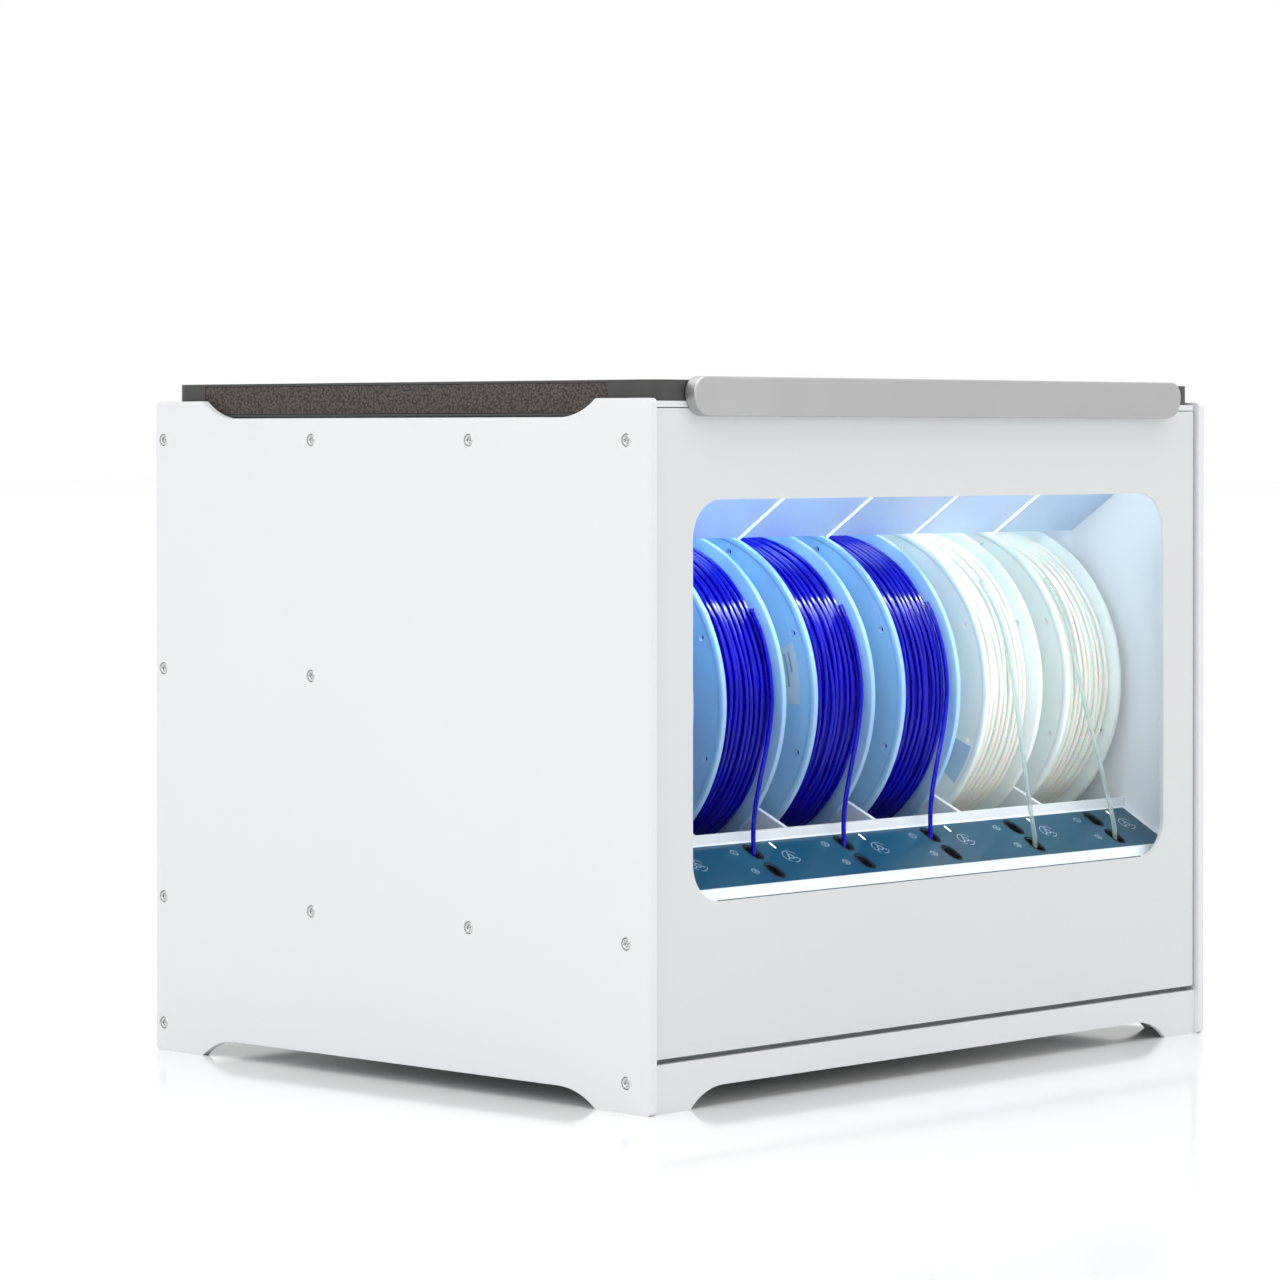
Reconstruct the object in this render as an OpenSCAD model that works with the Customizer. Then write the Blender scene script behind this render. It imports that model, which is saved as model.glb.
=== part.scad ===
// Six-bay filament dryer box with a drop-down window door.
// Millimetres. +Z is up, the door faces -Y, and the origin is the middle of the base.
// Inside the modules Y is counted back from the front edges of the side panels;
// in_frame() then moves each piece to the shared origin.

/* [Spools] */
// Diameter of a spool's flanges
spool_d = 200; // [170:1:240]
// Width of a spool over both flanges
spool_w = 55; // [46:1:66]
// Thickness of each flange
flange_t = 4; // [3:0.5:6]
// Diameter of the drum that the filament is wound on
drum_d = 80; // [70:1:110]
// Diameter of the hole through the hub
hub_bore_d = 50; // [36:1:54]
// Wall of the hub and of the drum
hub_wall = 3; // [2:0.5:4]
// How far the wound filament stays below the flange rim
rim_margin = 5.3; // [3:0.1:20]
// Diameter of the filament
filament_d = 2.85; // [1.75:0.05:3]
// Diameter of the small thread holes in the flanges
thread_hole_d = 4; // [3:0.5:6]

/* [Bays] */
// Free width between neighbouring spools
bay_gap = 23.5; // [18:0.5:40]
// Distance from the front edge of the case to the spools
spool_setback = 43.5; // [40:0.5:60]
// Free depth behind the spools
rear_gap = 24; // [15:0.5:40]
// Free height under the spools
spool_lift = 23.9; // [22:0.1:40]
// Free height above the spools
head_gap = 49.4; // [40:0.1:70]
// Thickness of the low walls between the bays
divider_t = 3; // [2:0.5:5]

/* [Rollers] */
// Diameter of a roller's rubber bands
roller_d = 22; // [18:0.5:24]
// Diameter of a roller's body between the bands
roller_body_d = 17; // [12:0.5:17]
// Diameter of the steel rods that the rollers turn on
rod_d = 6; // [4:0.5:8]
// Angle of each roller from straight below the spool's axis
roller_angle = 35; // [30:1:40]

/* [Case] */
// Thickness of each side panel
panel_t = 5; // [4:0.5:8]
// Thickness of the moulded walls inside the side panels
inner_wall_t = 9.5; // [8:0.5:14]
// Thickness of the sheets of the base, the bay shell and the top frame
sheet_t = 3; // [2:0.5:4]
// Thickness of the back panel
back_t = 2; // [1.5:0.5:4]
// Height of the compartment under the bays
lower_bay_h = 73.5; // [70:0.5:110]
// Depth of the compartment behind the bays
rear_bay_d = 141; // [120:1:180]
// Height of the hollow top frame above the ceiling
top_frame_h = 23.1; // [20:0.1:40]
// Height of the dark cover above the top frame
cover_h = 11.7; // [8:0.1:20]
// How far the side panels stand above the seat of the cover
panel_over = 1.5; // [0:0.1:1.5]
// Height of the arched cut-outs in the side panels
arch_h = 10.5; // [6:0.5:14]
// Length of the foot at each end of a side panel
foot_l = 42; // [25:1:70]
// Radius of the ends of the cut-outs
arch_r = 45.3; // [30:0.1:60]

/* [Door] */
// Thickness of the door frame
door_t = 6; // [5:0.5:9]
// How far the door sits behind the front edges of the side panels
door_recess = 3; // [2:0.5:6]
// Gap between the door and each side panel
door_side_gap = 2; // [1:0.5:4]
// Width of the door frame beside the window
door_stile = 30; // [24:1:60]
// Corner radius of the window
window_r = 22; // [10:1:40]
// Thickness of the window pane
pane_t = 2.5; // [2:0.5:3]
// Height of the skirt under the door
skirt_h = 27; // [24:0.5:28]
// Height of the aluminium grip
handle_h = 22.2; // [20:0.1:30]
// Length of the aluminium grip
handle_l = 440; // [300:1:470]
// Thickness of the aluminium grip
handle_t = 8.3; // [5:0.1:12]
// Diameter of the hinge pins
hinge_pin_d = 4; // [3:0.5:4]

/* [Feed tray] */
// Height of the tray's front edge above the bay floor
tray_front_h = 24; // [18:0.5:30]
// Depth of the sloping panel
tray_run = 36.5; // [34:0.5:37.5]
// Slope of the panel
tray_angle = 29.44; // [20:0.01:32]
// Height of the rim behind the panel
tray_rim_h = 5.8; // [3:0.1:8]
// Width of a feed slot
slot_w = 7.5; // [6.5:0.5:9]
// Length of a feed slot, front to back
slot_l = 11.8; // [10:0.1:13]

/* [Hidden] */
$fn = 96;

// Clearances
fit = 0.2;          // between fixed pieces that sit side by side
free_gap = 0.3;     // between a moving piece and what it passes
run_fit = 0.05;     // radial, between a shaft and its bore
cut = 1;            // how far a cutting shape runs past a face

// Colours
white = "#E9EBEC";
dark = "#434343";
steel = "#B9BCC0";
blue = "#1414C8";
natural = "#DDE3DC";
slate = "#33535F";
black = "#1E1E20";

// Bays across the case
bays = 6;
bay_pitch = spool_w + bay_gap;
bays_w = bays * bay_pitch;
case_w = bays_w + 2 * (inner_wall_t + panel_t);
wall_x = bays_w / 2;
panel_x = case_w / 2 - panel_t;
inner_half = wall_x - fit;

// Front to back
door_back_y = door_recess + door_t;
bezel_y = door_back_y + 1.5;
bezel_t = 3;
bay_y = bezel_y + bezel_t + 0.5;
spool_r = spool_d / 2;
spool_y = spool_setback + spool_r;
bulkhead_y = spool_y + spool_r + rear_gap;
bulkhead_t = 2;
rear_bay_y = bulkhead_y + bulkhead_t;
back_y = rear_bay_y + rear_bay_d;
back_recess = 0.5;
case_d = back_y + back_t + back_recess;
handle_proud = handle_t - door_recess;
mid_y = (case_d - handle_proud) / 2;

// Floor to top
base_z = arch_h + 4.6;
base_top = base_z + sheet_t;
floor_z = base_top + lower_bay_h;
floor_top = floor_z + sheet_t;
spool_z = floor_top + spool_lift + spool_r;
ceiling_z = spool_z + spool_r + head_gap;
seat_z = ceiling_z + top_frame_h;
case_h = seat_z + panel_over;
cover_top = seat_z + cover_h;

// Door
lip_t = 3.5;
door_half = panel_x - door_side_gap;
door_z0 = skirt_h + 3;
door_z1 = seat_z - lip_t - 0.5;
window_half = door_half - door_stile;
window_z0 = floor_top + tray_front_h - 5.1;
window_z1 = ceiling_z - 31.4;
pane_lap = 6;
hinge_y = door_recess + door_t / 2;
hinge_z = door_z0 + 6.5;
hinge_pin_in = 12;
hinge_pin_out = 3.5;
handle_top = cover_top + 2;
magnet_d = 8;
magnet_t = 2.5;
magnet_x = door_half - 18;
magnet_z = door_z1 - 11;
bezel_half = window_half + 19;
bezel_open_z0 = window_z0 - 1.5;
bezel_open_z1 = ceiling_z - 2;
hinge_relief = 16;
gasket_w = 5;
gasket_t = 1.2;
pane_y = door_recess + 2.5;

// Cover and ceiling
cover_back_y = case_d - 8;
flank_z = case_h - arch_h;   // lowest point of the cut-outs along the top
apron_gap = 6.7;             // between the apron's lower edge and the spools
apron_lean = 61.75;
apron_top_y = bay_y + 1;
apron_top_z = ceiling_z - 2.9;
apron_low_y = spool_y - (spool_r + apron_gap) * cos(apron_lean);
apron_low_z = spool_z + (spool_r + apron_gap) * sin(apron_lean);

// Feed tray
tray_z = floor_top + tray_front_h;
tray_wall = 2.5;
tray_edge = 2;               // rim beside the sloping panel
tray_back_y = bay_y + tray_run;
panel_skin = 1.2;
panel_margin = 1;
lane_y = [bay_y + 27.3, bay_y + 10.8];
slot_dx = -4;
loaded_lane = [0, 0, 0, 0, 1, 1];
funnel_wall = 1.2;
indicator_l = 5.5;
indicator_w = 1.6;
indicator_dx = 17;
indicator_y = bay_y + 31.5;

// Rollers
roller_r = roller_d / 2;
rod_r = rod_d / 2;
roller_reach = spool_r + free_gap + roller_r;
roller_dy = roller_reach * sin(roller_angle);
roller_z = spool_z - roller_reach * cos(roller_angle);
roller_l = bay_pitch - divider_t - 2;
band_w = 9;

// Screws of the side panels
screw_r = 2;
screw_head_r = 3.5;
screw_head_t = 2;
screw_l = 12;
front_col = bay_y + 4.9;
bulk_col = rear_bay_y + 5.1;
mid_col = (bezel_y + bulk_col) / 2;
back_col = back_y - 3.9;
base_row = base_z + sheet_t / 2;
floor_row = floor_z + sheet_t / 2;
ceiling_row = ceiling_z + sheet_t / 2;
mid_row = (floor_row + ceiling_row) / 2;
screw_places = [
  [front_col, base_row], [back_col, base_row],
  for (y = [front_col, mid_col, bulk_col, back_col], z = [floor_row, ceiling_row]) [y, z],
  for (y = [bulk_col, back_col]) [y, mid_row]
];

// Filament on its way from the spools to the feeder
pack_r = spool_r - rim_margin;
strand_r = filament_d / 2;
strand_orbit = pack_r + free_gap + strand_r;
leave_dx = [18, 18, 18, 18, 1, -14];
strand_wrap = 30;
strand_over = 4;             // how high above its slot a strand starts to turn down

// Feeder under the tray
feeder_top = floor_z - fit;
feeder_h = 46;
feeder_z = feeder_top - feeder_h;
feeder_front = bay_y + 3.3;
feeder_back = lane_y[0] + 9;
feeder_x0 = -wall_x + 20;
feeder_x1 = wall_x - 30;
feed_y = (lane_y[0] + lane_y[1]) / 2;
feed_z = feeder_z + 22;
feed_wheel_r = (lane_y[0] - lane_y[1]) / 2 - strand_r - free_gap;
feed_shaft_r = 3;
feed_shaft_out = 14;         // how far the shaft runs into the motor
lane_bore_r = 2.5;
floor_hole_r = 4;
strand_end_z = feeder_z + 2;

// Guide tubes and the outlet at the back
tube_r = 3;
tube_bend = 15;
tube_pitch = 7;
tube_drop = 9;               // straight run below the feeder
tube_lane_z = [feeder_z - tube_drop - tube_bend + 8, feeder_z - tube_drop - tube_bend];
manifold_y = back_y - 70;
manifold_l = 32;
manifold_half = 31;
manifold_z = (tube_lane_z[0] + tube_lane_z[1]) / 2;
outlet_x = [-8, 8];
outlet_r = 6;
outlet_bore_r = 3.05;

// Dryer behind the bays
dryer_x = -100;
dryer_z = spool_z + 60;
dryer_w = 190;
dryer_h = 104;
dryer_wall = 3;
fan_r = 38;
fan_hub_r = 13;
fan_pin_r = 2;
fan_blades = 7;
vent_x = [dryer_x, -dryer_x];

// Power inlet in the back panel
inlet_x = 150;
inlet_w = 30;
inlet_h = 24;
inlet_r = 3;
inlet_z = base_top + 90;

module in_frame() { translate([0, -mid_y, 0]) children(); }

function bay_x(i) = (i - (bays + 1) / 2) * bay_pitch;
function slope_z(y) = tray_z + (y - bay_y) * tan(tray_angle);

// A box given by its lowest and highest corners
module block(low, high) { translate(low) cube(high - low); }

// A plate between two X planes, drawn as an outline in Y and Z
module side_plate(x0, x1) {
  translate([x0, 0, 0]) rotate([90, 0, 90]) linear_extrude(x1 - x0) children();
}

// A plate between two Y planes, drawn as an outline in X and Z
module front_plate(y0, y1) {
  translate([0, y1, 0]) rotate([90, 0, 0]) linear_extrude(y1 - y0) children();
}

// A rectangle with round corners, given by its lowest and highest corners
module round_rect(low, high, r) {
  translate([low[0] + r, low[1]]) square([high[0] - low[0] - 2 * r, high[1] - low[1]]);
  translate([low[0], low[1] + r]) square([high[0] - low[0], high[1] - low[1] - 2 * r]);
  for (x = [low[0] + r, high[0] - r], y = [low[1] + r, high[1] - r]) translate([x, y]) circle(r);
}

// A slot with round ends along its second axis, centred on the origin
module stadium(w, l) {
  square([w, l - w], center = true);
  for (s = [-1, 1]) translate([0, s * (l - w) / 2]) circle(w / 2);
}

// A flat opening of the given span and height with arc ends, rising from the X axis
module arch(span, rise, r) {
  run = sqrt(2 * r * rise - rise * rise);
  translate([run, -cut]) square([span - 2 * run, rise + cut]);
  intersection() {
    translate([0, -cut]) square([span, rise + cut]);
    for (x = [run, span - run]) translate([x, rise - r]) circle(r);
  }
}

// A cylinder along X between two planes
module x_rod(r, x0, x1) { translate([x0, 0, 0]) rotate([0, 90, 0]) cylinder(r = r, h = x1 - x0); }

// A cylinder along Y between two planes
module y_rod(r, y0, y1) { translate([0, y0, 0]) rotate([-90, 0, 0]) cylinder(r = r, h = y1 - y0); }

// A ring along X, centred on the origin
module x_ring(outer_r, inner_r, w) {
  difference() {
    x_rod(outer_r, -w / 2, w / 2);
    x_rod(inner_r, -w / 2 - cut, w / 2 + cut);
  }
}

// A closed tube swept along a list of points, ring by ring
module swept_tube(path, r, sides = 8) {
  last = len(path) - 1;
  function ahead(k) =
    let (d = path[min(k + 1, last)] - path[max(k - 1, 0)]) d / norm(d);
  function across(k) =
    let (c = cross([1, 0, 0], ahead(k))) c / norm(c);
  rings = [
    for (k = [0:last])
      let (u = across(k), v = cross(ahead(k), u))
        for (s = [0:sides - 1])
          path[k] + r * (cos(s * 360 / sides) * u + sin(s * 360 / sides) * v)
  ];
  walls = [
    for (k = [0:last - 1], s = [0:sides - 1])
      let (t = (s + 1) % sides)
        each [
          [k * sides + s, k * sides + t, (k + 1) * sides + s],
          [k * sides + t, (k + 1) * sides + t, (k + 1) * sides + s]
        ]
  ];
  first_end = [for (s = [sides - 1:-1:0]) s];
  last_end = [for (s = [0:sides - 1]) last * sides + s];
  polyhedron(rings, concat([first_end], walls, [last_end]));
}

// ---------------------------------------------------------------- case

module side_outline() {
  corner = 3;
  difference() {
    round_rect([0, 0], [case_d, case_h], corner);
    translate([foot_l, 0]) arch(case_d - 2 * foot_l, arch_h, arch_r);
    translate([foot_l, case_h]) mirror([0, 1]) arch(case_d - 2 * foot_l, arch_h, arch_r);
  }
}

module side_panel(side) {
  inner = side * panel_x;
  outer = side * (panel_x + panel_t);
  difference() {
    side_plate(min(inner, outer), max(inner, outer)) side_outline();
    for (p = screw_places) translate([0, p[0], p[1]]) {
      x_rod(screw_r + fit, min(inner, outer) - cut, max(inner, outer) + cut);
      x_rod(screw_head_r + fit, min(outer - side * (screw_head_t + fit), outer + side * cut),
            max(outer - side * (screw_head_t + fit), outer + side * cut));
    }
    translate([0, hinge_y, hinge_z])
      x_rod(hinge_pin_d / 2, min(inner - side * cut, inner + side * hinge_pin_out),
            max(inner - side * cut, inner + side * hinge_pin_out));
  }
}

module left_side_panel() { in_frame() color(white) side_panel(-1); }

module right_side_panel() { in_frame() color(white) side_panel(1); }

// One screw along +X, its head's face on the YZ plane
module panel_screw() {
  socket_r = 1.6;
  socket_depth = 1.4;
  difference() {
    union() {
      x_rod(screw_head_r, -screw_head_t, 0);
      x_rod(screw_r, -screw_l, -screw_head_t);
    }
    translate([-socket_depth, 0, 0]) rotate([0, 90, 0])
      cylinder(r = socket_r, h = socket_depth + cut, $fn = 6);
  }
}

module side_panel_screws() {
  in_frame() color(steel)
    for (p = screw_places, side = [0, 1]) mirror([side, 0, 0])
      translate([case_w / 2 - fit, p[0], p[1]]) panel_screw();
}

module at_rods() {
  for (s = [-1, 1]) translate([0, spool_y + s * roller_dy, roller_z]) children();
}

// The moulded wall inside the right side panel: a skin stiffened by rails along the screw rows
module inner_wall() {
  skin = 3;
  rail = 8;
  boss_r = 8;
  top = flank_z + fit;
  rod_bore_x = panel_x - 3;
  screw_bore_x = case_w / 2 - screw_l - 2 * fit;
  columns = [front_col, mid_col, bulk_col, back_col];
  rows = [base_row, floor_row, mid_row, ceiling_row];
  difference() {
    union() {
      difference() {
        block([wall_x, bay_y, base_z - 3], [panel_x, back_y, top]);
        for (c = [0:2], r = [0:2])
          block([wall_x + skin, columns[c] + rail, rows[r] + rail],
                [panel_x + cut, columns[c + 1] - rail, rows[r + 1] - rail]);
      }
      at_rods() x_rod(boss_r, wall_x + skin - cut, panel_x);
    }
    for (p = screw_places) translate([0, p[0], p[1]]) x_rod(screw_r + run_fit, screw_bore_x, panel_x + cut);
    at_rods() x_rod(rod_r + run_fit, wall_x - cut, rod_bore_x);
  }
}

module inner_side_walls() {
  in_frame() color(white) for (side = [0, 1]) mirror([side, 0, 0]) inner_wall();
}

module base_pan() {
  skirt_t = 3;
  skirt_foot = 35;
  skirt_arch_r = 37.4;
  skirt_rise = arch_h + 1;
  vent_w = 4;
  vent_l = 60;
  in_frame() color(white) difference() {
    union() {
      front_plate(door_recess, door_recess + skirt_t) difference() {
        translate([-panel_x, 0]) square([2 * panel_x, skirt_h]);
        translate([-case_w / 2 + skirt_foot, 0]) arch(case_w - 2 * skirt_foot, skirt_rise, skirt_arch_r);
      }
      block([-inner_half, door_recess, base_z], [inner_half, back_y - fit, base_top]);
    }
    for (k = [-4:4]) translate([k * 3 * vent_w - inner_half / 2, mid_y, base_z - cut])
      linear_extrude(sheet_t + 2 * cut) stadium(vent_w, vent_l);
  }
}

// Bay floor and rear wall, one folded sheet
module bay_shell() {
  vent_w = 4;
  vent_l = 40;
  in_frame() color(white) difference() {
    union() {
      block([-inner_half, bay_y, floor_z], [inner_half, rear_bay_y, floor_top]);
      block([-inner_half, bulkhead_y, floor_z], [inner_half, rear_bay_y, ceiling_z - fit]);
    }
    for (i = [1:bays], y = lane_y) translate([bay_x(i) + slot_dx, y, floor_z - cut])
      cylinder(r = floor_hole_r, h = sheet_t + 2 * cut);
    for (x = vent_x, k = [-4:4]) translate([x + k * 2 * vent_w, 0, dryer_z])
      front_plate(bulkhead_y - cut, rear_bay_y + cut) stadium(vent_w, vent_l);
  }
}

module back_panel() {
  vent_w = 4;
  vent_l = 56;
  rear = back_y + back_t;
  in_frame() color(white) difference() {
    block([-panel_x + fit, back_y, base_z - 3], [panel_x - fit, rear, seat_z]);
    for (x = outlet_x) translate([x, 0, manifold_z]) y_rod(outlet_r + fit, back_y - cut, rear + cut);
    front_plate(back_y - cut, rear + cut) inlet_outline(fit);
    for (k = [-6:6]) translate([dryer_x + k * 2 * vent_w, 0, dryer_z])
      front_plate(back_y - cut, rear + cut) stadium(vent_w, vent_l);
  }
}

module front_bezel() {
  low_z = door_z0 + hinge_relief;
  sill_y = bay_y + 3;
  in_frame() color(white) {
    front_plate(bezel_y, bezel_y + bezel_t) difference() {
      translate([-panel_x, low_z]) square([2 * panel_x, ceiling_z - fit - low_z]);
      round_rect([-bezel_half, bezel_open_z0], [bezel_half, bezel_open_z1], window_r);
    }
    block([-inner_half, bezel_y + bezel_t, low_z], [inner_half, sill_y, low_z + bezel_t]);
    block([-inner_half, bay_y, base_top + fit], [inner_half, sill_y, low_z]);
  }
}

module top_frame() {
  wall = 3;
  back_edge = back_y - fit;
  in_frame() color(white) {
    difference() {
      block([-inner_half, bezel_y, ceiling_z], [inner_half, back_edge, seat_z]);
      block([-inner_half + wall, bezel_y + wall, ceiling_z + sheet_t],
            [inner_half - wall, back_edge - wall, seat_z + cut]);
    }
    block([-door_half, door_recess, seat_z - lip_t], [door_half, bezel_y + fit, seat_z]);
  }
}

// A hollow cover with cells inside and two side skirts
module top_cover() {
  corner_r = 12;
  rim = 13;
  rib_t = 2;
  skin = 2;
  cells_x = 6;
  cells_y = 4;
  skirt_t = 4;
  skirt_z = flank_z + 1;
  skirt_y0 = bezel_y + 4;
  skirt_y1 = cover_back_y - 12;
  cell_w = (2 * door_half - 2 * rim + rib_t) / cells_x;
  cell_d = (cover_back_y - door_recess - 2 * rim + rib_t) / cells_y;
  in_frame() color(dark) difference() {
    union() {
      translate([0, 0, seat_z]) linear_extrude(cover_h)
        round_rect([-door_half, door_recess + free_gap], [door_half, cover_back_y], corner_r);
      for (side = [0, 1]) mirror([side, 0, 0])
        block([door_half - skirt_t, skirt_y0, skirt_z], [door_half, skirt_y1, seat_z]);
    }
    for (a = [0:cells_x - 1], b = [0:cells_y - 1])
      translate([-door_half + rim + a * cell_w, door_recess + rim + b * cell_d, seat_z - cut])
        cube([cell_w - rib_t, cell_d - rib_t, cover_h - skin + cut]);
    for (side = [0, 1]) mirror([side, 0, 0]) foam_strip(fit);
  }
}

// The pad let into one side of the cover; clear widens it into its recess
module foam_strip(clear) {
  depth = 2;
  front_y = 39.5;
  back_edge = case_d - 37;
  low_z = flank_z + 2.6;
  top_z = cover_top - 1.6;
  block([door_half - depth, front_y - clear, low_z - clear],
        [door_half - fit + 2 * clear, back_edge + clear, top_z + clear]);
}

module side_foam_strips() {
  in_frame() color("#4E4844") for (side = [0, 1]) mirror([side, 0, 0]) foam_strip(0);
}

// ---------------------------------------------------------------- bays

module ceiling_apron() {
  skin = 2;
  rib_w = 2;
  rib_h = 1.5;
  slope = (apron_top_z - apron_low_z) / (apron_low_y - apron_top_y);
  in_frame() color(white) {
    side_plate(-inner_half, inner_half) polygon([
      [apron_top_y, apron_top_z], [apron_low_y, apron_low_z], [apron_low_y + skin, apron_low_z],
      [apron_low_y + skin, ceiling_z - fit], [apron_low_y, ceiling_z - fit],
      [apron_low_y, apron_low_z + skin + slope * skin], [apron_top_y, apron_top_z + skin]
    ]);
    for (k = [1:bays - 1]) translate([bay_x(k) + bay_pitch / 2, 0, 0])
      side_plate(-rib_w / 2, rib_w / 2) polygon([
        [apron_top_y, apron_top_z + fit], [apron_top_y, apron_top_z - rib_h],
        [apron_low_y, apron_low_z - rib_h], [apron_low_y, apron_low_z + fit]
      ]);
  }
}

module light_bar() {
  bar_h = 8;
  bar_d = 14;
  bar_half = inner_half - 8;
  front_y = apron_low_y + 6;
  top_z = ceiling_z - fit;
  in_frame() color("#F4FAFF") block([-bar_half, front_y, top_z - bar_h], [bar_half, front_y + bar_d, top_z]);
}

module bay_dividers() {
  crest = floor_top + 68;
  front_y = tray_back_y + tray_wall + fit;
  back_edge = bulkhead_y - fit;
  bottom = floor_top + fit;
  nose_z = slope_z(tray_back_y) + tray_rim_h - 1;
  in_frame() color(white) difference() {
    for (k = [1:bays - 1]) translate([bay_x(k) + bay_pitch / 2, 0, 0])
      side_plate(-divider_t / 2, divider_t / 2) polygon([
        [front_y, bottom], [front_y, nose_z], [front_y + 20, nose_z + 9], [front_y + 42, crest],
        [back_edge, crest], [back_edge, bottom]
      ]);
    at_rods() x_rod(rod_r + run_fit, -wall_x, wall_x);
  }
}

// A slab along the slope, between two heights square to its surface
module slope_slab(low, high = 80) {
  translate([0, bay_y, tray_z]) rotate([tray_angle, 0, 0])
    block([-case_w / 2, -40, low], [case_w / 2, 80, high]);
}

module at_slots() {
  for (i = [1:bays], y = lane_y) translate([bay_x(i) + slot_dx, y, 0]) children();
}

module at_indicators() {
  for (i = [1:bays]) translate([bay_x(i) + indicator_dx, indicator_y, 0]) children();
}

// The sloping surface between its margins, as a vertical prism
module slope_prism(margin) {
  half = inner_half - tray_edge - margin;
  block([-half, bay_y + margin, floor_top], [half, tray_back_y - margin, cover_top]);
}

// Upright shafts through the tray above the given height
module slot_shafts(z) { at_slots() translate([0, 0, z]) linear_extrude(case_h) stadium(slot_w, slot_l); }

module indicator_shafts(z) {
  at_indicators() translate([0, 0, z]) linear_extrude(case_h)
    square([indicator_w, indicator_l], center = true);
}

module feed_tray() {
  top_z = slope_z(tray_back_y);
  in_frame() color(white) difference() {
    side_plate(-inner_half, inner_half) difference() {
      polygon([
        [bay_y, floor_top], [bay_y, tray_z], [tray_back_y, top_z],
        [tray_back_y, top_z + tray_rim_h], [tray_back_y + tray_wall, top_z + tray_rim_h],
        [tray_back_y + tray_wall, floor_top]
      ]);
      polygon([
        [bay_y + tray_wall, floor_top - cut], [bay_y + tray_wall, slope_z(bay_y + tray_wall) - 2 * tray_wall],
        [tray_back_y, top_z - 2 * tray_wall], [tray_back_y, floor_top - cut]
      ]);
    }
    intersection() {
      slope_slab(-panel_skin);
      slope_prism(panel_margin - fit);
    }
    slot_shafts(floor_top + cut);
    indicator_shafts(floor_top + cut);
  }
}

module control_panel() {
  in_frame() color(slate) difference() {
    intersection() {
      slope_slab(-panel_skin, 0);
      slope_prism(panel_margin);
    }
    slot_shafts(floor_top);
    indicator_shafts(floor_top);
  }
}

module slot_indicators() {
  in_frame() color("#FFFFFF") at_indicators() difference() {
    translate([0, 0, slope_z(indicator_y) - 7]) linear_extrude(12)
      square([indicator_w - fit, indicator_l - fit], center = true);
    translate([0, -indicator_y, 0]) slope_slab(-fit);
  }
}

module feed_funnels() {
  low_z = floor_top + fit;
  in_frame() color(black) difference() {
    at_slots() translate([0, 0, low_z]) linear_extrude(60) difference() {
      stadium(slot_w - fit, slot_l - fit);
      stadium(slot_w - 2 * funnel_wall, slot_l - 2 * funnel_wall);
    }
    slope_slab(-2 * fit);
  }
}

// The spot on the winding where filament for the given lane leaves it, as an angle above the front
function leave_angle(lane) =
  let (dy = spool_y - lane_y[lane], dz = slope_z(lane_y[lane]) - spool_z)
    atan2(dz, dy) + acos(strand_orbit / norm([dy, dz]));

function on_winding(a) = [spool_y - strand_orbit * cos(a), spool_z + strand_orbit * sin(a)];

// Route of one strand: along the winding, straight to its slot, then down into the feeder
function strand_path(i) =
  let (
    lane = loaded_lane[i - 1],
    x0 = bay_x(i) + leave_dx[i - 1],
    x1 = bay_x(i) + slot_dx,
    a = leave_angle(lane),
    leave = on_winding(a),
    entry = [lane_y[lane], slope_z(lane_y[lane]) + strand_over],
    steps = 8
  ) concat(
    [for (k = [0:5]) let (p = on_winding(a + strand_wrap * (1 - k / 5))) [x0, p[0], p[1]]],
    [for (k = [1:steps]) let (t = k / steps, q = leave + (entry - leave) * t, e = t * t * (3 - 2 * t))
      [x0 + (x1 - x0) * e, q[0], q[1]]],
    [[x1, entry[0], entry[1] - 1.5 * strand_over], [x1, entry[0], floor_top], [x1, entry[0], strand_end_z]]
  );

module loaded_filament() {
  in_frame() color(blue) for (i = [1:bays]) swept_tube(strand_path(i), strand_r);
}

module at_spool(i) { translate([bay_x(i), spool_y, spool_z]) children(); }

module spool(i) {
  thread_holes = 8;
  in_frame() color(natural) at_spool(i) difference() {
    union() {
      for (s = [-1, 1]) translate([s * (spool_w - flange_t) / 2, 0, 0])
        x_ring(spool_r, hub_bore_d / 2, flange_t);
      x_ring(hub_bore_d / 2 + hub_wall, hub_bore_d / 2, spool_w);
      x_ring(drum_d / 2, drum_d / 2 - hub_wall, spool_w);
    }
    for (k = [0:thread_holes - 1]) rotate([k * 360 / thread_holes + 20, 0, 0])
      translate([0, 0, pack_r - thread_hole_d]) x_rod(thread_hole_d / 2, -spool_w, spool_w);
  }
}

module spool_1() { spool(1); }
module spool_2() { spool(2); }
module spool_3() { spool(3); }
module spool_4() { spool(4); }
module spool_5() { spool(5); }
module spool_6() { spool(6); }

module winding(i, tint) {
  in_frame() color(tint) at_spool(i) x_ring(pack_r, drum_d / 2 + fit, spool_w - 2 * (flange_t + fit));
}

module filament_1() { winding(1, blue); }
module filament_2() { winding(2, blue); }
module filament_3() { winding(3, blue); }
module filament_4() { winding(4, blue); }
module filament_5() { winding(5, natural); }
module filament_6() { winding(6, natural); }

// A free-turning roller with two raised rubber bands under the spool's flanges
module roller(i, s) {
  in_frame() color(dark) translate([bay_x(i), spool_y + s * roller_dy, roller_z]) difference() {
    union() {
      x_rod(roller_body_d / 2, -roller_l / 2, roller_l / 2);
      for (b = [-1, 1]) translate([b * (spool_w - flange_t) / 2, 0, 0])
        x_rod(roller_r, -band_w / 2, band_w / 2);
    }
    x_rod(rod_r + run_fit, -roller_l, roller_l);
  }
}

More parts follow.
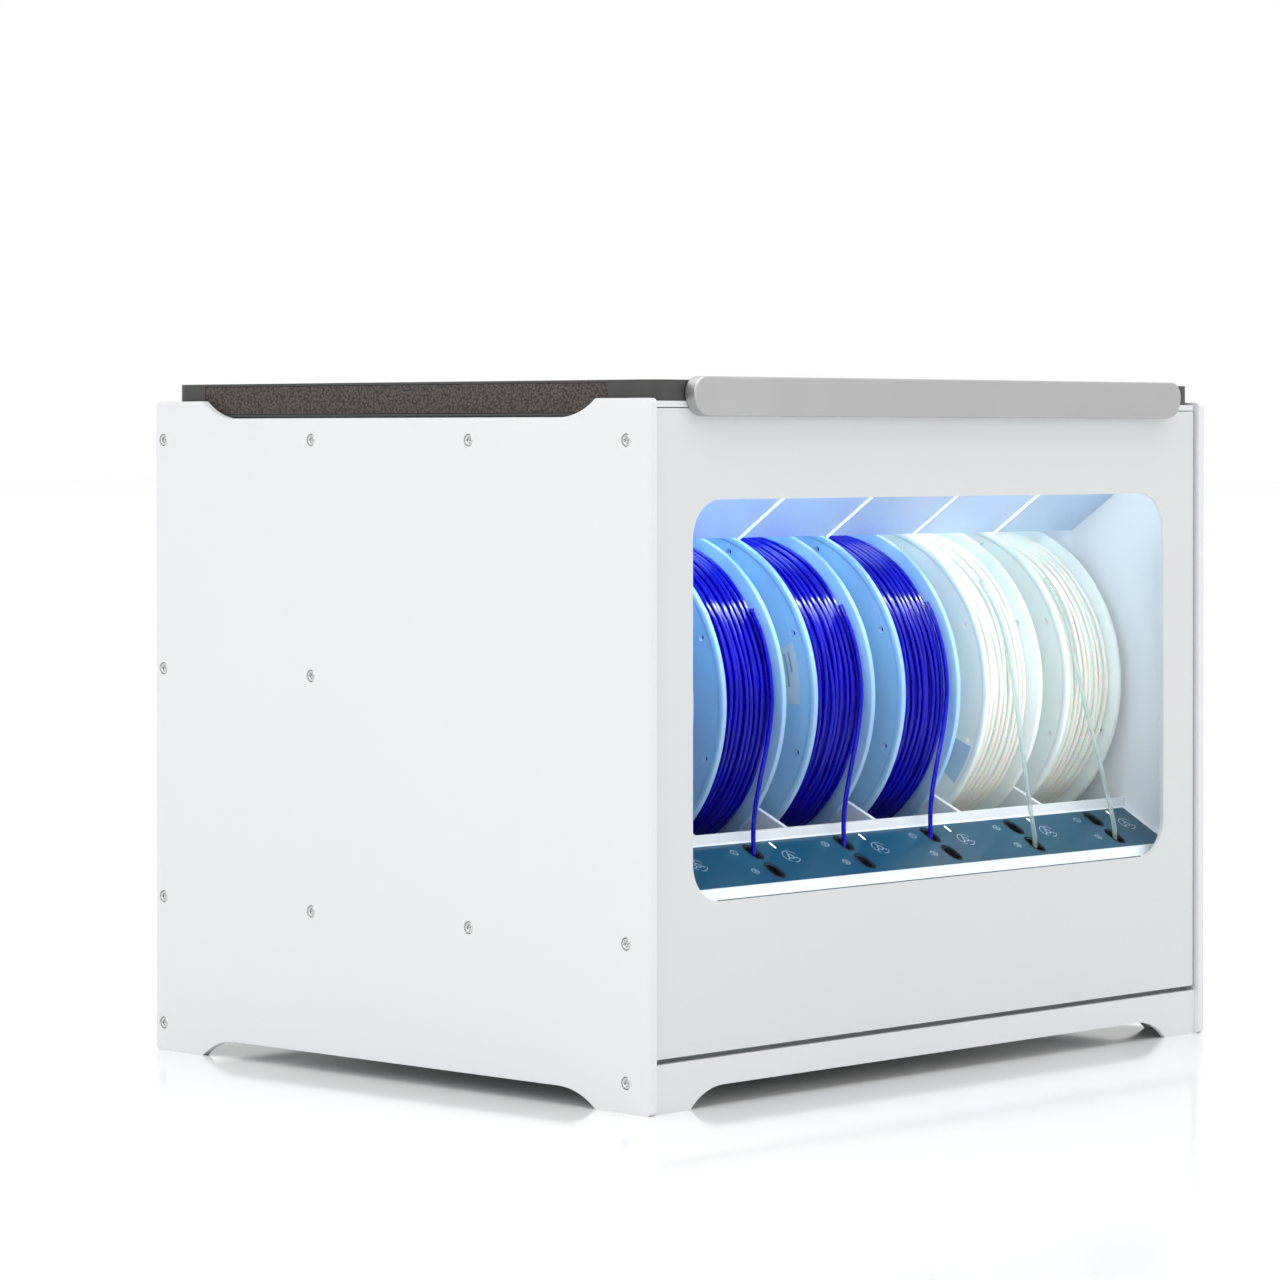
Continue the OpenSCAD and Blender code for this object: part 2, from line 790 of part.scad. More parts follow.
module front_roller_1() { roller(1, -1); }
module front_roller_2() { roller(2, -1); }
module front_roller_3() { roller(3, -1); }
module front_roller_4() { roller(4, -1); }
module front_roller_5() { roller(5, -1); }
module front_roller_6() { roller(6, -1); }
module rear_roller_1() { roller(1, 1); }
module rear_roller_2() { roller(2, 1); }
module rear_roller_3() { roller(3, 1); }
module rear_roller_4() { roller(4, 1); }
module rear_roller_5() { roller(5, 1); }
module rear_roller_6() { roller(6, 1); }

module roller_rods() {
  rod_half = panel_x - 3.5;
  in_frame() color(steel) at_rods() x_rod(rod_r, -rod_half, rod_half);
}

// ---------------------------------------------------------------- door

module door_frame() {
  magnet_bore_y = door_back_y - magnet_t - fit;
  pin_bore_l = hinge_pin_in + fit + cut;
  in_frame() color(white) difference() {
    front_plate(door_recess, door_back_y) difference() {
      round_rect([-door_half, door_z0], [door_half, door_z1], 1.5);
      round_rect([-window_half, window_z0], [window_half, window_z1], window_r);
    }
    front_plate(pane_y, door_back_y + cut) pane_outline(fit);
    for (s = [-1, 1]) {
      translate([s * magnet_x, 0, magnet_z]) y_rod(magnet_d / 2 + run_fit, magnet_bore_y, door_back_y + cut);
      translate([s * (door_half + cut - pin_bore_l / 2), hinge_y, hinge_z])
        x_rod(hinge_pin_d / 2 + run_fit, -pin_bore_l / 2, pin_bore_l / 2);
    }
  }
}

module pane_outline(clear) {
  lap = pane_lap + clear;
  round_rect([-window_half - lap, window_z0 - lap], [window_half + lap, window_z1 + lap], window_r + lap);
}

module door_window() {
  in_frame() color([0.8, 0.9, 0.95, 0.3])
    front_plate(pane_y, pane_y + pane_t) pane_outline(0);
}

module door_gasket() {
  lap = 1.5;
  in_frame() color(black) front_plate(door_back_y, door_back_y + gasket_t) difference() {
    round_rect([-bezel_half - lap - gasket_w, bezel_open_z0 - lap - gasket_w],
               [bezel_half + lap + gasket_w, bezel_open_z1 + lap + gasket_w], window_r + lap + gasket_w);
    round_rect([-bezel_half - lap, bezel_open_z0 - lap],
               [bezel_half + lap, bezel_open_z1 + lap], window_r + lap);
  }
}

module door_handle() {
  low_r = 13;
  top_r = 9;
  low_z = handle_top - handle_h;
  in_frame() color("#BDBDBD") front_plate(-handle_proud, door_recess) intersection() {
    round_rect([-handle_l / 2, low_z], [handle_l / 2, handle_top + 3 * low_r], low_r);
    round_rect([-handle_l / 2, low_z - 3 * top_r], [handle_l / 2, handle_top], top_r);
  }
}

module door_magnets() {
  in_frame() color(steel) for (s = [-1, 1]) translate([s * magnet_x, 0, magnet_z])
    y_rod(magnet_d / 2, door_back_y - magnet_t - fit, door_back_y - fit);
}

module hinge_pins() {
  in_frame() color(steel) for (side = [0, 1]) mirror([side, 0, 0]) translate([0, hinge_y, hinge_z])
    x_rod(hinge_pin_d / 2, door_half - hinge_pin_in, panel_x + hinge_pin_out);
}

// ---------------------------------------------------------------- feeder and outlet

module feeder_block() {
  cheek = 6;
  bore_r = feed_wheel_r + 1.2;
  in_frame() color(black) difference() {
    block([feeder_x0, feeder_front, feeder_z], [feeder_x1, feeder_back, feeder_top]);
    translate([0, feed_y, feed_z]) {
      x_rod(bore_r, feeder_x0 + cheek, feeder_x1 - cheek);
      x_rod(feed_shaft_r + run_fit, feeder_x0 - cut, feeder_x1 + cut);
    }
    at_slots() translate([0, 0, feeder_z - cut]) cylinder(r = lane_bore_r, h = feeder_h + 2 * cut);
  }
}

module feed_shaft() {
  wheel_w = 10;
  in_frame() color(steel) translate([0, feed_y, feed_z]) {
    x_rod(feed_shaft_r, feeder_x0 - 2, feeder_x1 + feed_shaft_out);
    for (i = [1:bays]) translate([bay_x(i) + slot_dx, 0, 0]) x_rod(feed_wheel_r, -wheel_w / 2, wheel_w / 2);
  }
}

module feed_motor() {
  motor_r = 14;
  motor_l = 28;
  start = feeder_x1 + fit;
  in_frame() color(dark) translate([0, feed_y, feed_z]) difference() {
    x_rod(motor_r, start, start + motor_l);
    x_rod(feed_shaft_r + run_fit, start - cut, start + feed_shaft_out + 2);
  }
}

// Route of a guide tube: down out of the feeder, round a bend, then back to the outlet
function tube_path(i, lane) =
  let (
    x0 = bay_x(i) + slot_dx,
    x1 = outlet_x[lane] + (i - (bays + 1) / 2) * tube_pitch,
    y0 = lane_y[lane],
    z1 = tube_lane_z[lane],
    bend_steps = 5,
    y_run = lane_y[0] + tube_bend + 10
  ) concat(
    [[x0, y0, feeder_z - fit]],
    [for (k = [0:bend_steps]) let (a = 90 * k / bend_steps)
      [x0, y0 + tube_bend * (1 - cos(a)), z1 + tube_bend * (1 - sin(a))]],
    [[x0, y_run, z1], [x1, manifold_y - 2 * tube_r, z1], [x1, manifold_y - fit, z1]]
  );

module guide_tubes() {
  in_frame() color(natural) for (i = [1:bays], lane = [0, 1]) swept_tube(tube_path(i, lane), tube_r);
}

module outlet_manifold() {
  low_z = base_top + fit;
  top_z = tube_lane_z[0] + 6;
  body_end = manifold_y + manifold_l;
  rear = back_y + back_t;
  in_frame() color(black) difference() {
    union() {
      block([-manifold_half, manifold_y, low_z], [manifold_half, body_end, top_z]);
      for (x = outlet_x) translate([x, 0, manifold_z]) y_rod(outlet_r, body_end - cut, rear);
    }
    for (x = outlet_x) translate([x, 0, manifold_z]) y_rod(outlet_bore_r, manifold_y + 6, rear + cut);
  }
}

// ---------------------------------------------------------------- dryer and electrics

module dryer_housing() {
  front_y = rear_bay_y + 1;
  back_edge = back_y - 1;
  half_w = dryer_w / 2;
  half_h = dryer_h / 2;
  boss_y = back_edge - 22;
  duct_end = back_edge - 30;
  in_frame() color("#C9CDD0") translate([dryer_x, 0, dryer_z]) {
    difference() {
      block([-half_w, front_y, -half_h], [half_w, back_edge, half_h]);
      block([-half_w + dryer_wall, front_y - cut, -half_h + dryer_wall],
            [half_w - dryer_wall, duct_end, half_h - dryer_wall]);
      y_rod(fan_r + 2, front_y, back_edge + cut);
    }
    y_rod(fan_pin_r, boss_y - 24, boss_y + cut);
    y_rod(fan_hub_r, boss_y, back_edge);
    for (a = [0:120:240]) rotate([0, a, 0])
      block([fan_hub_r - cut, back_edge - 6, -2], [fan_r + 3, back_edge, 2]);
  }
}

module dryer_fan() {
  hub_l = 20;
  blade_t = 1.6;
  pitch = 35;
  hub_back = back_y - 24;
  in_frame() color(black) translate([dryer_x, hub_back - hub_l / 2, dryer_z]) difference() {
    union() {
      y_rod(fan_hub_r, -hub_l / 2, hub_l / 2);
      for (k = [0:fan_blades - 1]) rotate([0, k * 360 / fan_blades, 0]) rotate([pitch, 0, 0])
        block([fan_hub_r - 2, -hub_l * 0.4, -blade_t / 2], [fan_r, hub_l * 0.4, blade_t / 2]);
    }
    y_rod(fan_pin_r + run_fit, -hub_l, hub_l);
  }
}

module power_supply() {
  w = 110;
  d = 98;
  h = 50;
  shell = 1.5;
  slit_w = 4;
  edge = 12;
  low_z = base_top + fit;
  in_frame() color("#B4B8BB") translate([wall_x - 20 - w, back_y - 16 - d, low_z]) difference() {
    cube([w, d, h]);
    block([shell, shell, shell], [w - shell, d - shell, h - shell]);
    for (x = [edge + slit_w:10:w - edge]) block([x, edge, h - shell - cut], [x + slit_w, d - edge, h + cut]);
  }
}

module main_board() {
  w = 170;
  h = 90;
  board_t = 1.6;
  standoff = 8;
  standoff_inset = 6;
  in_frame() color("#1F6B45") translate([dryer_x - w / 2, rear_bay_y + standoff, floor_top + 20]) {
    block([0, 0, 0], [w, board_t, h]);
    for (x = [standoff_inset, w - standoff_inset], z = [standoff_inset, h - standoff_inset])
      translate([x, 0, z]) y_rod(3, fit - standoff, cut);
    for (k = [0:5]) translate([18 + k * 24, 0, 10]) cube([14, 9, 10]);
    translate([30, 0, 40]) cube([30, 4, 30]);
    for (k = [0:3]) translate([90 + k * 18, 0, 60]) y_rod(6, 0, 16);
  }
}

module inlet_outline(clear) {
  low = [-inlet_w / 2 - clear, -inlet_h / 2 - clear];
  translate([inlet_x, inlet_z]) round_rect(low, -low, inlet_r);
}

module power_inlet() {
  socket_w = 24;
  socket_h = 16;
  depth = 15;
  rear = back_y + back_t;
  in_frame() color(black) {
    difference() {
      front_plate(rear - depth - 6, rear) inlet_outline(0);
      translate([inlet_x, 0, inlet_z]) front_plate(rear - depth, rear + cut)
        round_rect([-socket_w / 2, -socket_h / 2], [socket_w / 2, socket_h / 2], 2);
    }
    for (p = [[-7, -1], [0, 3], [7, -1]]) translate([inlet_x + p[0], 0, inlet_z + p[1]])
      block([-1, rear - depth - cut, -2], [1, rear - 3, 2]);
  }
}

left_side_panel();
right_side_panel();
side_panel_screws();
inner_side_walls();
base_pan();
bay_shell();
back_panel();
front_bezel();
top_frame();
top_cover();
side_foam_strips();
ceiling_apron();
light_bar();
bay_dividers();
feed_tray();
control_panel();
slot_indicators();
feed_funnels();
roller_rods();
door_frame();
door_window();
door_gasket();
door_handle();
door_magnets();
hinge_pins();
loaded_filament();
spool_1();
spool_2();
spool_3();
spool_4();
spool_5();
spool_6();
filament_1();
filament_2();
filament_3();
filament_4();
filament_5();
filament_6();
front_roller_1();
front_roller_2();
front_roller_3();
front_roller_4();
front_roller_5();
front_roller_6();
rear_roller_1();
rear_roller_2();
rear_roller_3();
rear_roller_4();
rear_roller_5();
rear_roller_6();
feeder_block();
feed_shaft();
feed_motor();
guide_tubes();
outlet_manifold();
dryer_housing();
dryer_fan();
power_supply();
main_board();
power_inlet();
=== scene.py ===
"""Looks of a six-bay filament dryer box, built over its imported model.

Metres, +Z up, the door towards -Y, the origin in the middle of the base.
"""

import logging
import math
from dataclasses import dataclass, field
from enum import Enum
from typing import Iterable, Sequence

import bmesh
import bpy
from mathutils import Euler, Matrix, Vector


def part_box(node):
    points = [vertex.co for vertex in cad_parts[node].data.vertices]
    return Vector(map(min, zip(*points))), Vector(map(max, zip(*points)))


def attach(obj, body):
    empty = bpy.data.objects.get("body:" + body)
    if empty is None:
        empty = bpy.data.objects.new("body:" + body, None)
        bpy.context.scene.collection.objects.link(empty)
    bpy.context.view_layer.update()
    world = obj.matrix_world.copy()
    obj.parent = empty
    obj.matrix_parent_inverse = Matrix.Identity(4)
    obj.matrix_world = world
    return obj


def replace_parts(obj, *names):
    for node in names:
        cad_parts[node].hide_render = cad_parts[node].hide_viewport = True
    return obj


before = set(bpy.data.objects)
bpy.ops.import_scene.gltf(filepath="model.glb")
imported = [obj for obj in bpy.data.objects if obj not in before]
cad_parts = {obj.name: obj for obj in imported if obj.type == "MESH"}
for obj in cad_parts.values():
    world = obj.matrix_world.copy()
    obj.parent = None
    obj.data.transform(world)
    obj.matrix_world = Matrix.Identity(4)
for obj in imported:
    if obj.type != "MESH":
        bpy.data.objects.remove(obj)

log = logging.getLogger("dryer_box")

MM = 0.001
Colour = tuple[float, float, float]
Point = tuple[float, float, float]


# ---------------------------------------------------------------- finishes


class Grain(Enum):
    """How the relief of a finish is drawn."""

    FINE = "fine"
    SPECKLED = "speckled"
    BRUSHED = "brushed"


@dataclass(frozen=True)
class Finish:
    """One surface finish: a Principled shader with grain in its colour, gloss and relief.

    The scales are in cycles per metre of Object coordinates and the depth is in metres.
    """

    name: str
    slot: str
    colour: Colour
    drift_colour: Colour
    drift_scale: float = 30.0
    grain: Grain = Grain.FINE
    grain_scale: float = 1400.0
    grain_depth: float = 0.00002
    rough: tuple[float, float] = (0.35, 0.45)
    metallic: float = 0.0
    ior: float = 1.5
    specular: float = 0.5
    coat: float = 0.0
    coat_rough: float = 0.05
    transmission: float = 0.0
    subsurface: float = 0.0
    glow: Colour = (0.0, 0.0, 0.0)
    glow_strength: float = 0.0

    def material(self) -> bpy.types.Material:
        """The material of this finish, built at its first use.

        Returns:
            The material, shared by every piece of this finish.
        """
        found = bpy.data.materials.get(self.name)
        if found is not None:
            return found
        made = bpy.data.materials.new(self.name)
        made.use_nodes = True
        nodes, links = made.node_tree.nodes, made.node_tree.links
        shader = next(n for n in nodes if n.type == "BSDF_PRINCIPLED")
        for socket, value in self._constants().items():
            shader.inputs[socket].default_value = value
        place = nodes.new("ShaderNodeTexCoord").outputs["Object"]
        drift = nodes.new("ShaderNodeTexNoise")
        drift.inputs["Scale"].default_value = self.drift_scale
        drift.inputs["Detail"].default_value = 4.0
        links.new(place, drift.inputs["Vector"])
        texture = self._grain_texture(nodes, links, place)
        if self.colour == self.drift_colour:
            shader.inputs["Base Color"].default_value = (*self.colour, 1.0)
        else:
            blend = nodes.new("ShaderNodeMix")
            blend.data_type = "RGBA"
            blend.inputs["A"].default_value = (*self.colour, 1.0)
            blend.inputs["B"].default_value = (*self.drift_colour, 1.0)
            shade = texture if self.grain is Grain.SPECKLED else drift.outputs["Fac"]
            links.new(shade, blend.inputs["Factor"])
            links.new(blend.outputs["Result"], shader.inputs["Base Color"])
        if self.rough[0] == self.rough[1]:
            shader.inputs["Roughness"].default_value = self.rough[0]
        else:
            gloss = nodes.new("ShaderNodeMapRange")
            gloss.inputs["To Min"].default_value, gloss.inputs["To Max"].default_value = self.rough
            links.new(drift.outputs["Fac"], gloss.inputs["Value"])
            links.new(gloss.outputs["Result"], shader.inputs["Roughness"])
        if self.grain_depth > 0.0:
            relief = nodes.new("ShaderNodeBump")
            relief.inputs["Distance"].default_value = self.grain_depth
            relief.inputs["Strength"].default_value = 0.6
            links.new(texture, relief.inputs["Height"])
            links.new(relief.outputs["Normal"], shader.inputs["Normal"])
        return made

    def _constants(self) -> dict[str, object]:
        """The shader's constant inputs by socket name."""
        return {
            "Metallic": self.metallic,
            "IOR": self.ior,
            "Specular IOR Level": self.specular,
            "Coat Weight": self.coat,
            "Coat Roughness": self.coat_rough,
            "Transmission Weight": self.transmission,
            "Subsurface Weight": self.subsurface,
            "Subsurface Scale": 0.004,
            "Emission Color": (*self.glow, 1.0),
            "Emission Strength": self.glow_strength,
        }

    def _grain_texture(
        self, nodes: bpy.types.Nodes, links: bpy.types.NodeLinks, place: bpy.types.NodeSocket
    ) -> bpy.types.NodeSocket:
        """Draws the fine texture of the finish.

        Args:
            nodes: The material's nodes.
            links: The material's links.
            place: The Object coordinates.

        Returns:
            The texture's height, from 0 to 1.
        """
        if self.grain is Grain.SPECKLED:
            cells = nodes.new("ShaderNodeTexVoronoi")
            cells.inputs["Scale"].default_value = self.grain_scale
            links.new(place, cells.inputs["Vector"])
            ramp = nodes.new("ShaderNodeMapRange")
            ramp.inputs["From Min"].default_value = 0.15
            ramp.inputs["From Max"].default_value = 0.75
            links.new(cells.outputs["Distance"], ramp.inputs["Value"])
            return ramp.outputs["Result"]
        grain = nodes.new("ShaderNodeTexNoise")
        grain.inputs["Scale"].default_value = self.grain_scale
        grain.inputs["Detail"].default_value = 2.0
        if self.grain is Grain.BRUSHED:
            stretch = nodes.new("ShaderNodeMapping")
            stretch.inputs["Scale"].default_value = (0.02, 1.0, 1.0)
            links.new(place, stretch.inputs["Vector"])
            place = stretch.outputs["Vector"]
        links.new(place, grain.inputs["Vector"])
        return grain.outputs["Fac"]


SIDE_PAINT = Finish(
    "side_paint", "side_white", (0.83, 0.84, 0.86), (0.86, 0.865, 0.875), 6.0, rough=(0.3, 0.38)
)
SHEET_PAINT = Finish(
    "sheet_paint", "panel_white", (0.78, 0.79, 0.80), (0.82, 0.825, 0.83), 6.0, rough=(0.36, 0.46)
)
DOOR_MOULDING = Finish(
    "door_moulding", "door_white", (0.72, 0.75, 0.745), (0.76, 0.785, 0.78), 7.0, rough=(0.34, 0.42)
)
INNER_MOULDING = Finish(
    "inner_moulding", "inner_white", (0.80, 0.84, 0.87), (0.85, 0.88, 0.90), 9.0, rough=(0.4, 0.52)
)
# The apron is the same white moulding as the inner walls; its darker blue colour is painted blue shade.
APRON_PAINTED_SHADE = Finish(
    "apron_painted_shade", "inner_white", (0.43, 0.56, 0.76), (0.52, 0.65, 0.82), 9.0, rough=(0.35, 0.45)
)
# The ribs are white moulding; their glow is painted light, as they hold no lamp.
RIB_PAINTED_GLOW = Finish(
    "rib_painted_glow", "inner_white", (0.95, 0.97, 1.0), (1.0, 1.0, 1.0), 60.0, rough=(0.3, 0.4),
    glow=(0.8, 0.92, 1.0), glow_strength=0.35,
)
COVER_PLASTIC = Finish(
    "cover_plastic", "cover_dark", (0.045, 0.045, 0.045), (0.065, 0.063, 0.062), 60.0,
    grain_scale=900.0, grain_depth=0.00005, rough=(0.42, 0.6),
)
SIDE_FOAM = Finish(
    "side_foam", "foam", (0.13, 0.105, 0.095), (0.03, 0.024, 0.022), 80.0,
    grain=Grain.SPECKLED, grain_scale=620.0, grain_depth=0.0003, rough=(0.75, 0.95),
)
SCREW_ZINC = Finish(
    "screw_zinc", "screw_steel", (0.52, 0.53, 0.55), (0.66, 0.67, 0.68), 300.0,
    grain=Grain.BRUSHED, rough=(0.22, 0.34), metallic=1.0,
)
GRIP_METAL = Finish(
    "grip_metal", "handle_aluminium", (0.43, 0.43, 0.43), (0.49, 0.49, 0.49), 20.0,
    grain_scale=2400.0, grain_depth=0.00003, rough=(0.38, 0.48), metallic=0.85,
)
CLEAR_PANE = Finish(
    "clear_pane", "window_clear", (0.97, 0.99, 1.0), (1.0, 1.0, 1.0), 5.0,
    grain_depth=0.0, rough=(0.0, 0.0), ior=1.05, transmission=1.0,
)
SEAL_RUBBER = Finish(
    "gasket_rubber", "seal_rubber", (0.02, 0.02, 0.02), (0.035, 0.035, 0.035), 200.0, rough=(0.6, 0.8)
)
SILL_DARK_BEAD = Finish(
    "sill_dark_bead", "seal_rubber", (0.05, 0.09, 0.11), (0.07, 0.11, 0.13), 120.0, rough=(0.5, 0.7)
)
CONTROL_GLOSS = Finish(
    "tray_gloss", "control_gloss", (0.012, 0.074, 0.124), (0.016, 0.090, 0.150), 12.0,
    grain_depth=0.0, rough=(0.06, 0.13), ior=1.25,
)
SLOT_BLACK = Finish(
    "slot_black", "black_plastic", (0.004, 0.004, 0.005), (0.008, 0.008, 0.009), 200.0,
    rough=(0.8, 0.95), specular=0.05,
)
MARK_PRINT = Finish(
    "mark_print", "control_gloss", (0.50, 0.70, 0.80), (0.60, 0.80, 0.90), 900.0, rough=(0.3, 0.4)
)
LIGHT_PIPE = Finish(
    "light_pipe", "indicator", (0.9, 0.95, 1.0), (1.0, 1.0, 1.0), 400.0,
    glow=(0.9, 0.96, 1.0), glow_strength=2.5,
)
OPAL_DIFFUSER = Finish(
    "opal_diffuser", "light_diffuser", (0.9, 0.95, 1.0), (1.0, 1.0, 1.0), 60.0,
    rough=(0.5, 0.6), glow=(0.70, 0.85, 1.0), glow_strength=3.0,
)
# All spools are one frosted moulding; the blue tint of those in the blue bays is painted blue light bounced
# from the filament.
FROSTED_BLUE_BOUNCE = Finish(
    "frosted_blue_bounce", "spool_frosted", (0.30, 0.57, 0.84), (0.46, 0.70, 0.92), 16.0,
    grain_scale=700.0, rough=(0.24, 0.36), transmission=0.12, subsurface=0.25,
)
# The faint glow of the clear spools is painted light; the moulding holds no lamp.
FROSTED_CLEAR_GLOW = Finish(
    "frosted_clear_glow", "spool_frosted", (0.72, 0.80, 0.78), (0.81, 0.87, 0.85), 22.0,
    grain_scale=700.0, rough=(0.26, 0.40), transmission=0.12, subsurface=0.25,
    glow=(0.80, 0.95, 0.98), glow_strength=0.06,
)
BLUE_STRAND = Finish(
    "blue_strand", "filament_blue", (0.0, 0.0, 0.22), (0.0, 0.0, 0.56), 55.0,
    grain_scale=900.0, rough=(0.05, 0.11), ior=1.32,
)
# The natural filament's faint glow is painted light that fills the shade between the strands.
NATURAL_STRAND_GLOW = Finish(
    "natural_strand", "filament_natural", (0.70, 0.68, 0.62), (0.70, 0.77, 0.73), 18.0,
    grain_scale=900.0, rough=(0.34, 0.46), specular=0.3, subsurface=0.8,
    glow=(0.80, 0.92, 0.88), glow_strength=0.09,
)
NATURAL_CLEAR = Finish(
    "natural_clear", "filament_natural", (0.66, 0.78, 0.76), (0.74, 0.85, 0.83), 45.0,
    grain_scale=900.0, rough=(0.08, 0.16), ior=1.25, transmission=0.75,
)
ROLLER_RUBBER = Finish(
    "roller_rubber", "roller_grey", (0.06, 0.06, 0.065), (0.10, 0.10, 0.105), 120.0, rough=(0.55, 0.75)
)
BLACK_MOULDING = Finish(
    "black_moulding", "black_plastic", (0.014, 0.014, 0.016), (0.03, 0.03, 0.032), 90.0, rough=(0.4, 0.6)
)
DUCT_MOULDING = Finish(
    "duct_moulding", "dryer_grey", (0.48, 0.51, 0.53), (0.55, 0.58, 0.60), 20.0, rough=(0.45, 0.6)
)
PLATED_SHEET = Finish(
    "plated_sheet", "psu_steel", (0.50, 0.51, 0.52), (0.62, 0.63, 0.64), 70.0,
    grain=Grain.BRUSHED, rough=(0.28, 0.42), metallic=1.0,
)
BOARD_MASK = Finish(
    "board_mask", "board_green", (0.02, 0.14, 0.07), (0.035, 0.20, 0.10), 160.0, rough=(0.25, 0.4), coat=0.3
)
MOTOR_PAINT = Finish(
    "motor_paint", "motor_black", (0.03, 0.03, 0.033), (0.05, 0.05, 0.052), 80.0, rough=(0.3, 0.45)
)
TUBE_PLASTIC = Finish(
    "tube_plastic", "tube_clear", (0.72, 0.77, 0.77), (0.80, 0.84, 0.84), 60.0,
    rough=(0.25, 0.4), transmission=0.3,
)
LABEL_PAPER = Finish(
    "label_paper", "spool_frosted", (0.50, 0.56, 0.58), (0.60, 0.66, 0.68), 150.0, rough=(0.4, 0.6)
)
LABEL_FILM = Finish(
    "label_film", "spool_frosted", (0.40, 0.56, 0.70), (0.50, 0.66, 0.78), 60.0, rough=(0.2, 0.3)
)
LABEL_INK = Finish(
    "label_ink", "spool_frosted", (0.24, 0.30, 0.33), (0.30, 0.36, 0.39), 150.0, rough=(0.4, 0.6)
)


# ---------------------------------------------------------------- meshes


def new_piece(name: str, mesh: bpy.types.Mesh) -> bpy.types.Object:
    """Puts a mesh in the scene as a piece at the origin.

    Args:
        name: The piece's name.
        mesh: Its mesh, in place.

    Returns:
        The new object.
    """
    piece = bpy.data.objects.new(name, mesh)
    bpy.context.scene.collection.objects.link(piece)
    return piece


def mesh_of(name: str, verts: Sequence[Point], faces: Sequence[Sequence[int]]) -> bpy.types.Mesh:
    """Makes a mesh with its faces turned outwards.

    Args:
        name: The mesh's name.
        verts: Its points.
        faces: Its faces as indices of points.

    Returns:
        The new mesh.
    """
    mesh = bpy.data.meshes.new(name)
    mesh.from_pydata([tuple(v) for v in verts], [], [tuple(f) for f in faces])
    work = bmesh.new()
    work.from_mesh(mesh)
    bmesh.ops.recalc_face_normals(work, faces=work.faces)
    work.to_mesh(mesh)
    work.free()
    return mesh


def smooth(mesh: bpy.types.Mesh, angle: float = 32.0) -> None:
    """Shades a mesh smooth, apart from edges sharper than the angle in degrees."""
    mesh.shade_smooth()
    mesh.set_sharp_from_angle(angle=math.radians(angle))


def lathe_x(
    name: str, profile: Sequence[tuple[float, float]], centre: Vector, sides: int = 96
) -> bpy.types.Mesh:
    """Turns a closed outline round the X axis through a centre.

    Args:
        name: The mesh's name.
        profile: The outline as (x, radius) pairs about the centre, none of them on the axis.
        centre: A point of the axis.
        sides: How many steps a turn has.

    Returns:
        The new mesh, smooth apart from its sharp edges.
    """
    count = len(profile)
    verts = [
        (centre.x + x, centre.y + r * math.cos(a), centre.z + r * math.sin(a))
        for a in (math.tau * k / sides for k in range(sides))
        for x, r in profile
    ]
    faces = [
        (k * count + j, k * count + (j + 1) % count, ahead * count + (j + 1) % count, ahead * count + j)
        for k, ahead in ((k, (k + 1) % sides) for k in range(sides))
        for j in range(count)
    ]
    mesh = mesh_of(name, verts, faces)
    smooth(mesh)
    return mesh


def merged_copy(node: str) -> bmesh.types.BMesh:
    """A CAD node's mesh with its loose triangles joined up.

    Args:
        node: The node's name.

    Returns:
        A new bmesh, which the caller frees.
    """
    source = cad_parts[node].data
    plain = bpy.data.meshes.new("merged")
    plain.from_pydata([v.co[:] for v in source.vertices], [], [p.vertices[:] for p in source.polygons])
    work = bmesh.new()
    work.from_mesh(plain)
    bpy.data.meshes.remove(plain)
    bmesh.ops.remove_doubles(work, verts=work.verts, dist=2e-6)
    return work


def islands(node: str) -> list[tuple[Vector, Vector]]:
    """The box of each separate solid of a CAD node.

    Args:
        node: The node's name.

    Returns:
        (lowest corner, highest corner) of each, in order of X, then Y, then Z.
    """
    work = merged_copy(node)
    boxes, seen = [], set()
    for start in work.verts:
        if start in seen:
            continue
        stack, members = [start], []
        seen.add(start)
        while stack:
            vert = stack.pop()
            members.append(vert.co)
            for edge in vert.link_edges:
                other = edge.other_vert(vert)
                if other not in seen:
                    seen.add(other)
                    stack.append(other)
        low = Vector([min(c[a] for c in members) for a in range(3)])
        high = Vector([max(c[a] for c in members) for a in range(3)])
        boxes.append((low, high))
    work.free()
    return sorted(boxes, key=lambda b: [round(v, 5) for v in b[0]])


def bake_modifiers(piece: bpy.types.Object) -> None:
    """Turns the modifiers of a piece into its plain mesh, and removes them.

    Args:
        piece: The piece.
    """
    graph = bpy.context.evaluated_depsgraph_get()
    graph.update()
    baked = bpy.data.meshes.new_from_object(piece.evaluated_get(graph), depsgraph=graph)
    piece.modifiers.clear()
    piece.data = baked


def eased_copy(node: str, width: float) -> bpy.types.Object:
    """A copy of a CAD node with its sharp edges rounded, standing for the node.

    Args:
        node: The node's name.
        width: How far the rounding reaches from an edge.

    Returns:
        The new piece.
    """
    work = merged_copy(node)
    bmesh.ops.dissolve_limit(work, angle_limit=math.radians(0.4), verts=work.verts, edges=work.edges)
    mesh = bpy.data.meshes.new(f"{node}_eased")
    work.to_mesh(mesh)
    work.free()
    piece = new_piece(f"{node}_eased", mesh)
    mesh.shade_smooth()
    ease = piece.modifiers.new("ease", "BEVEL")
    ease.width, ease.segments = width, 2
    ease.limit_method, ease.angle_limit = "ANGLE", math.radians(40.0)
    ease.use_clamp_overlap = True
    flat = piece.modifiers.new("flat", "WEIGHTED_NORMAL")
    flat.mode, flat.weight, flat.keep_sharp = "FACE_AREA", 100, False
    bake_modifiers(piece)
    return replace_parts(piece, node)


# ---------------------------------------------------------------- node trees


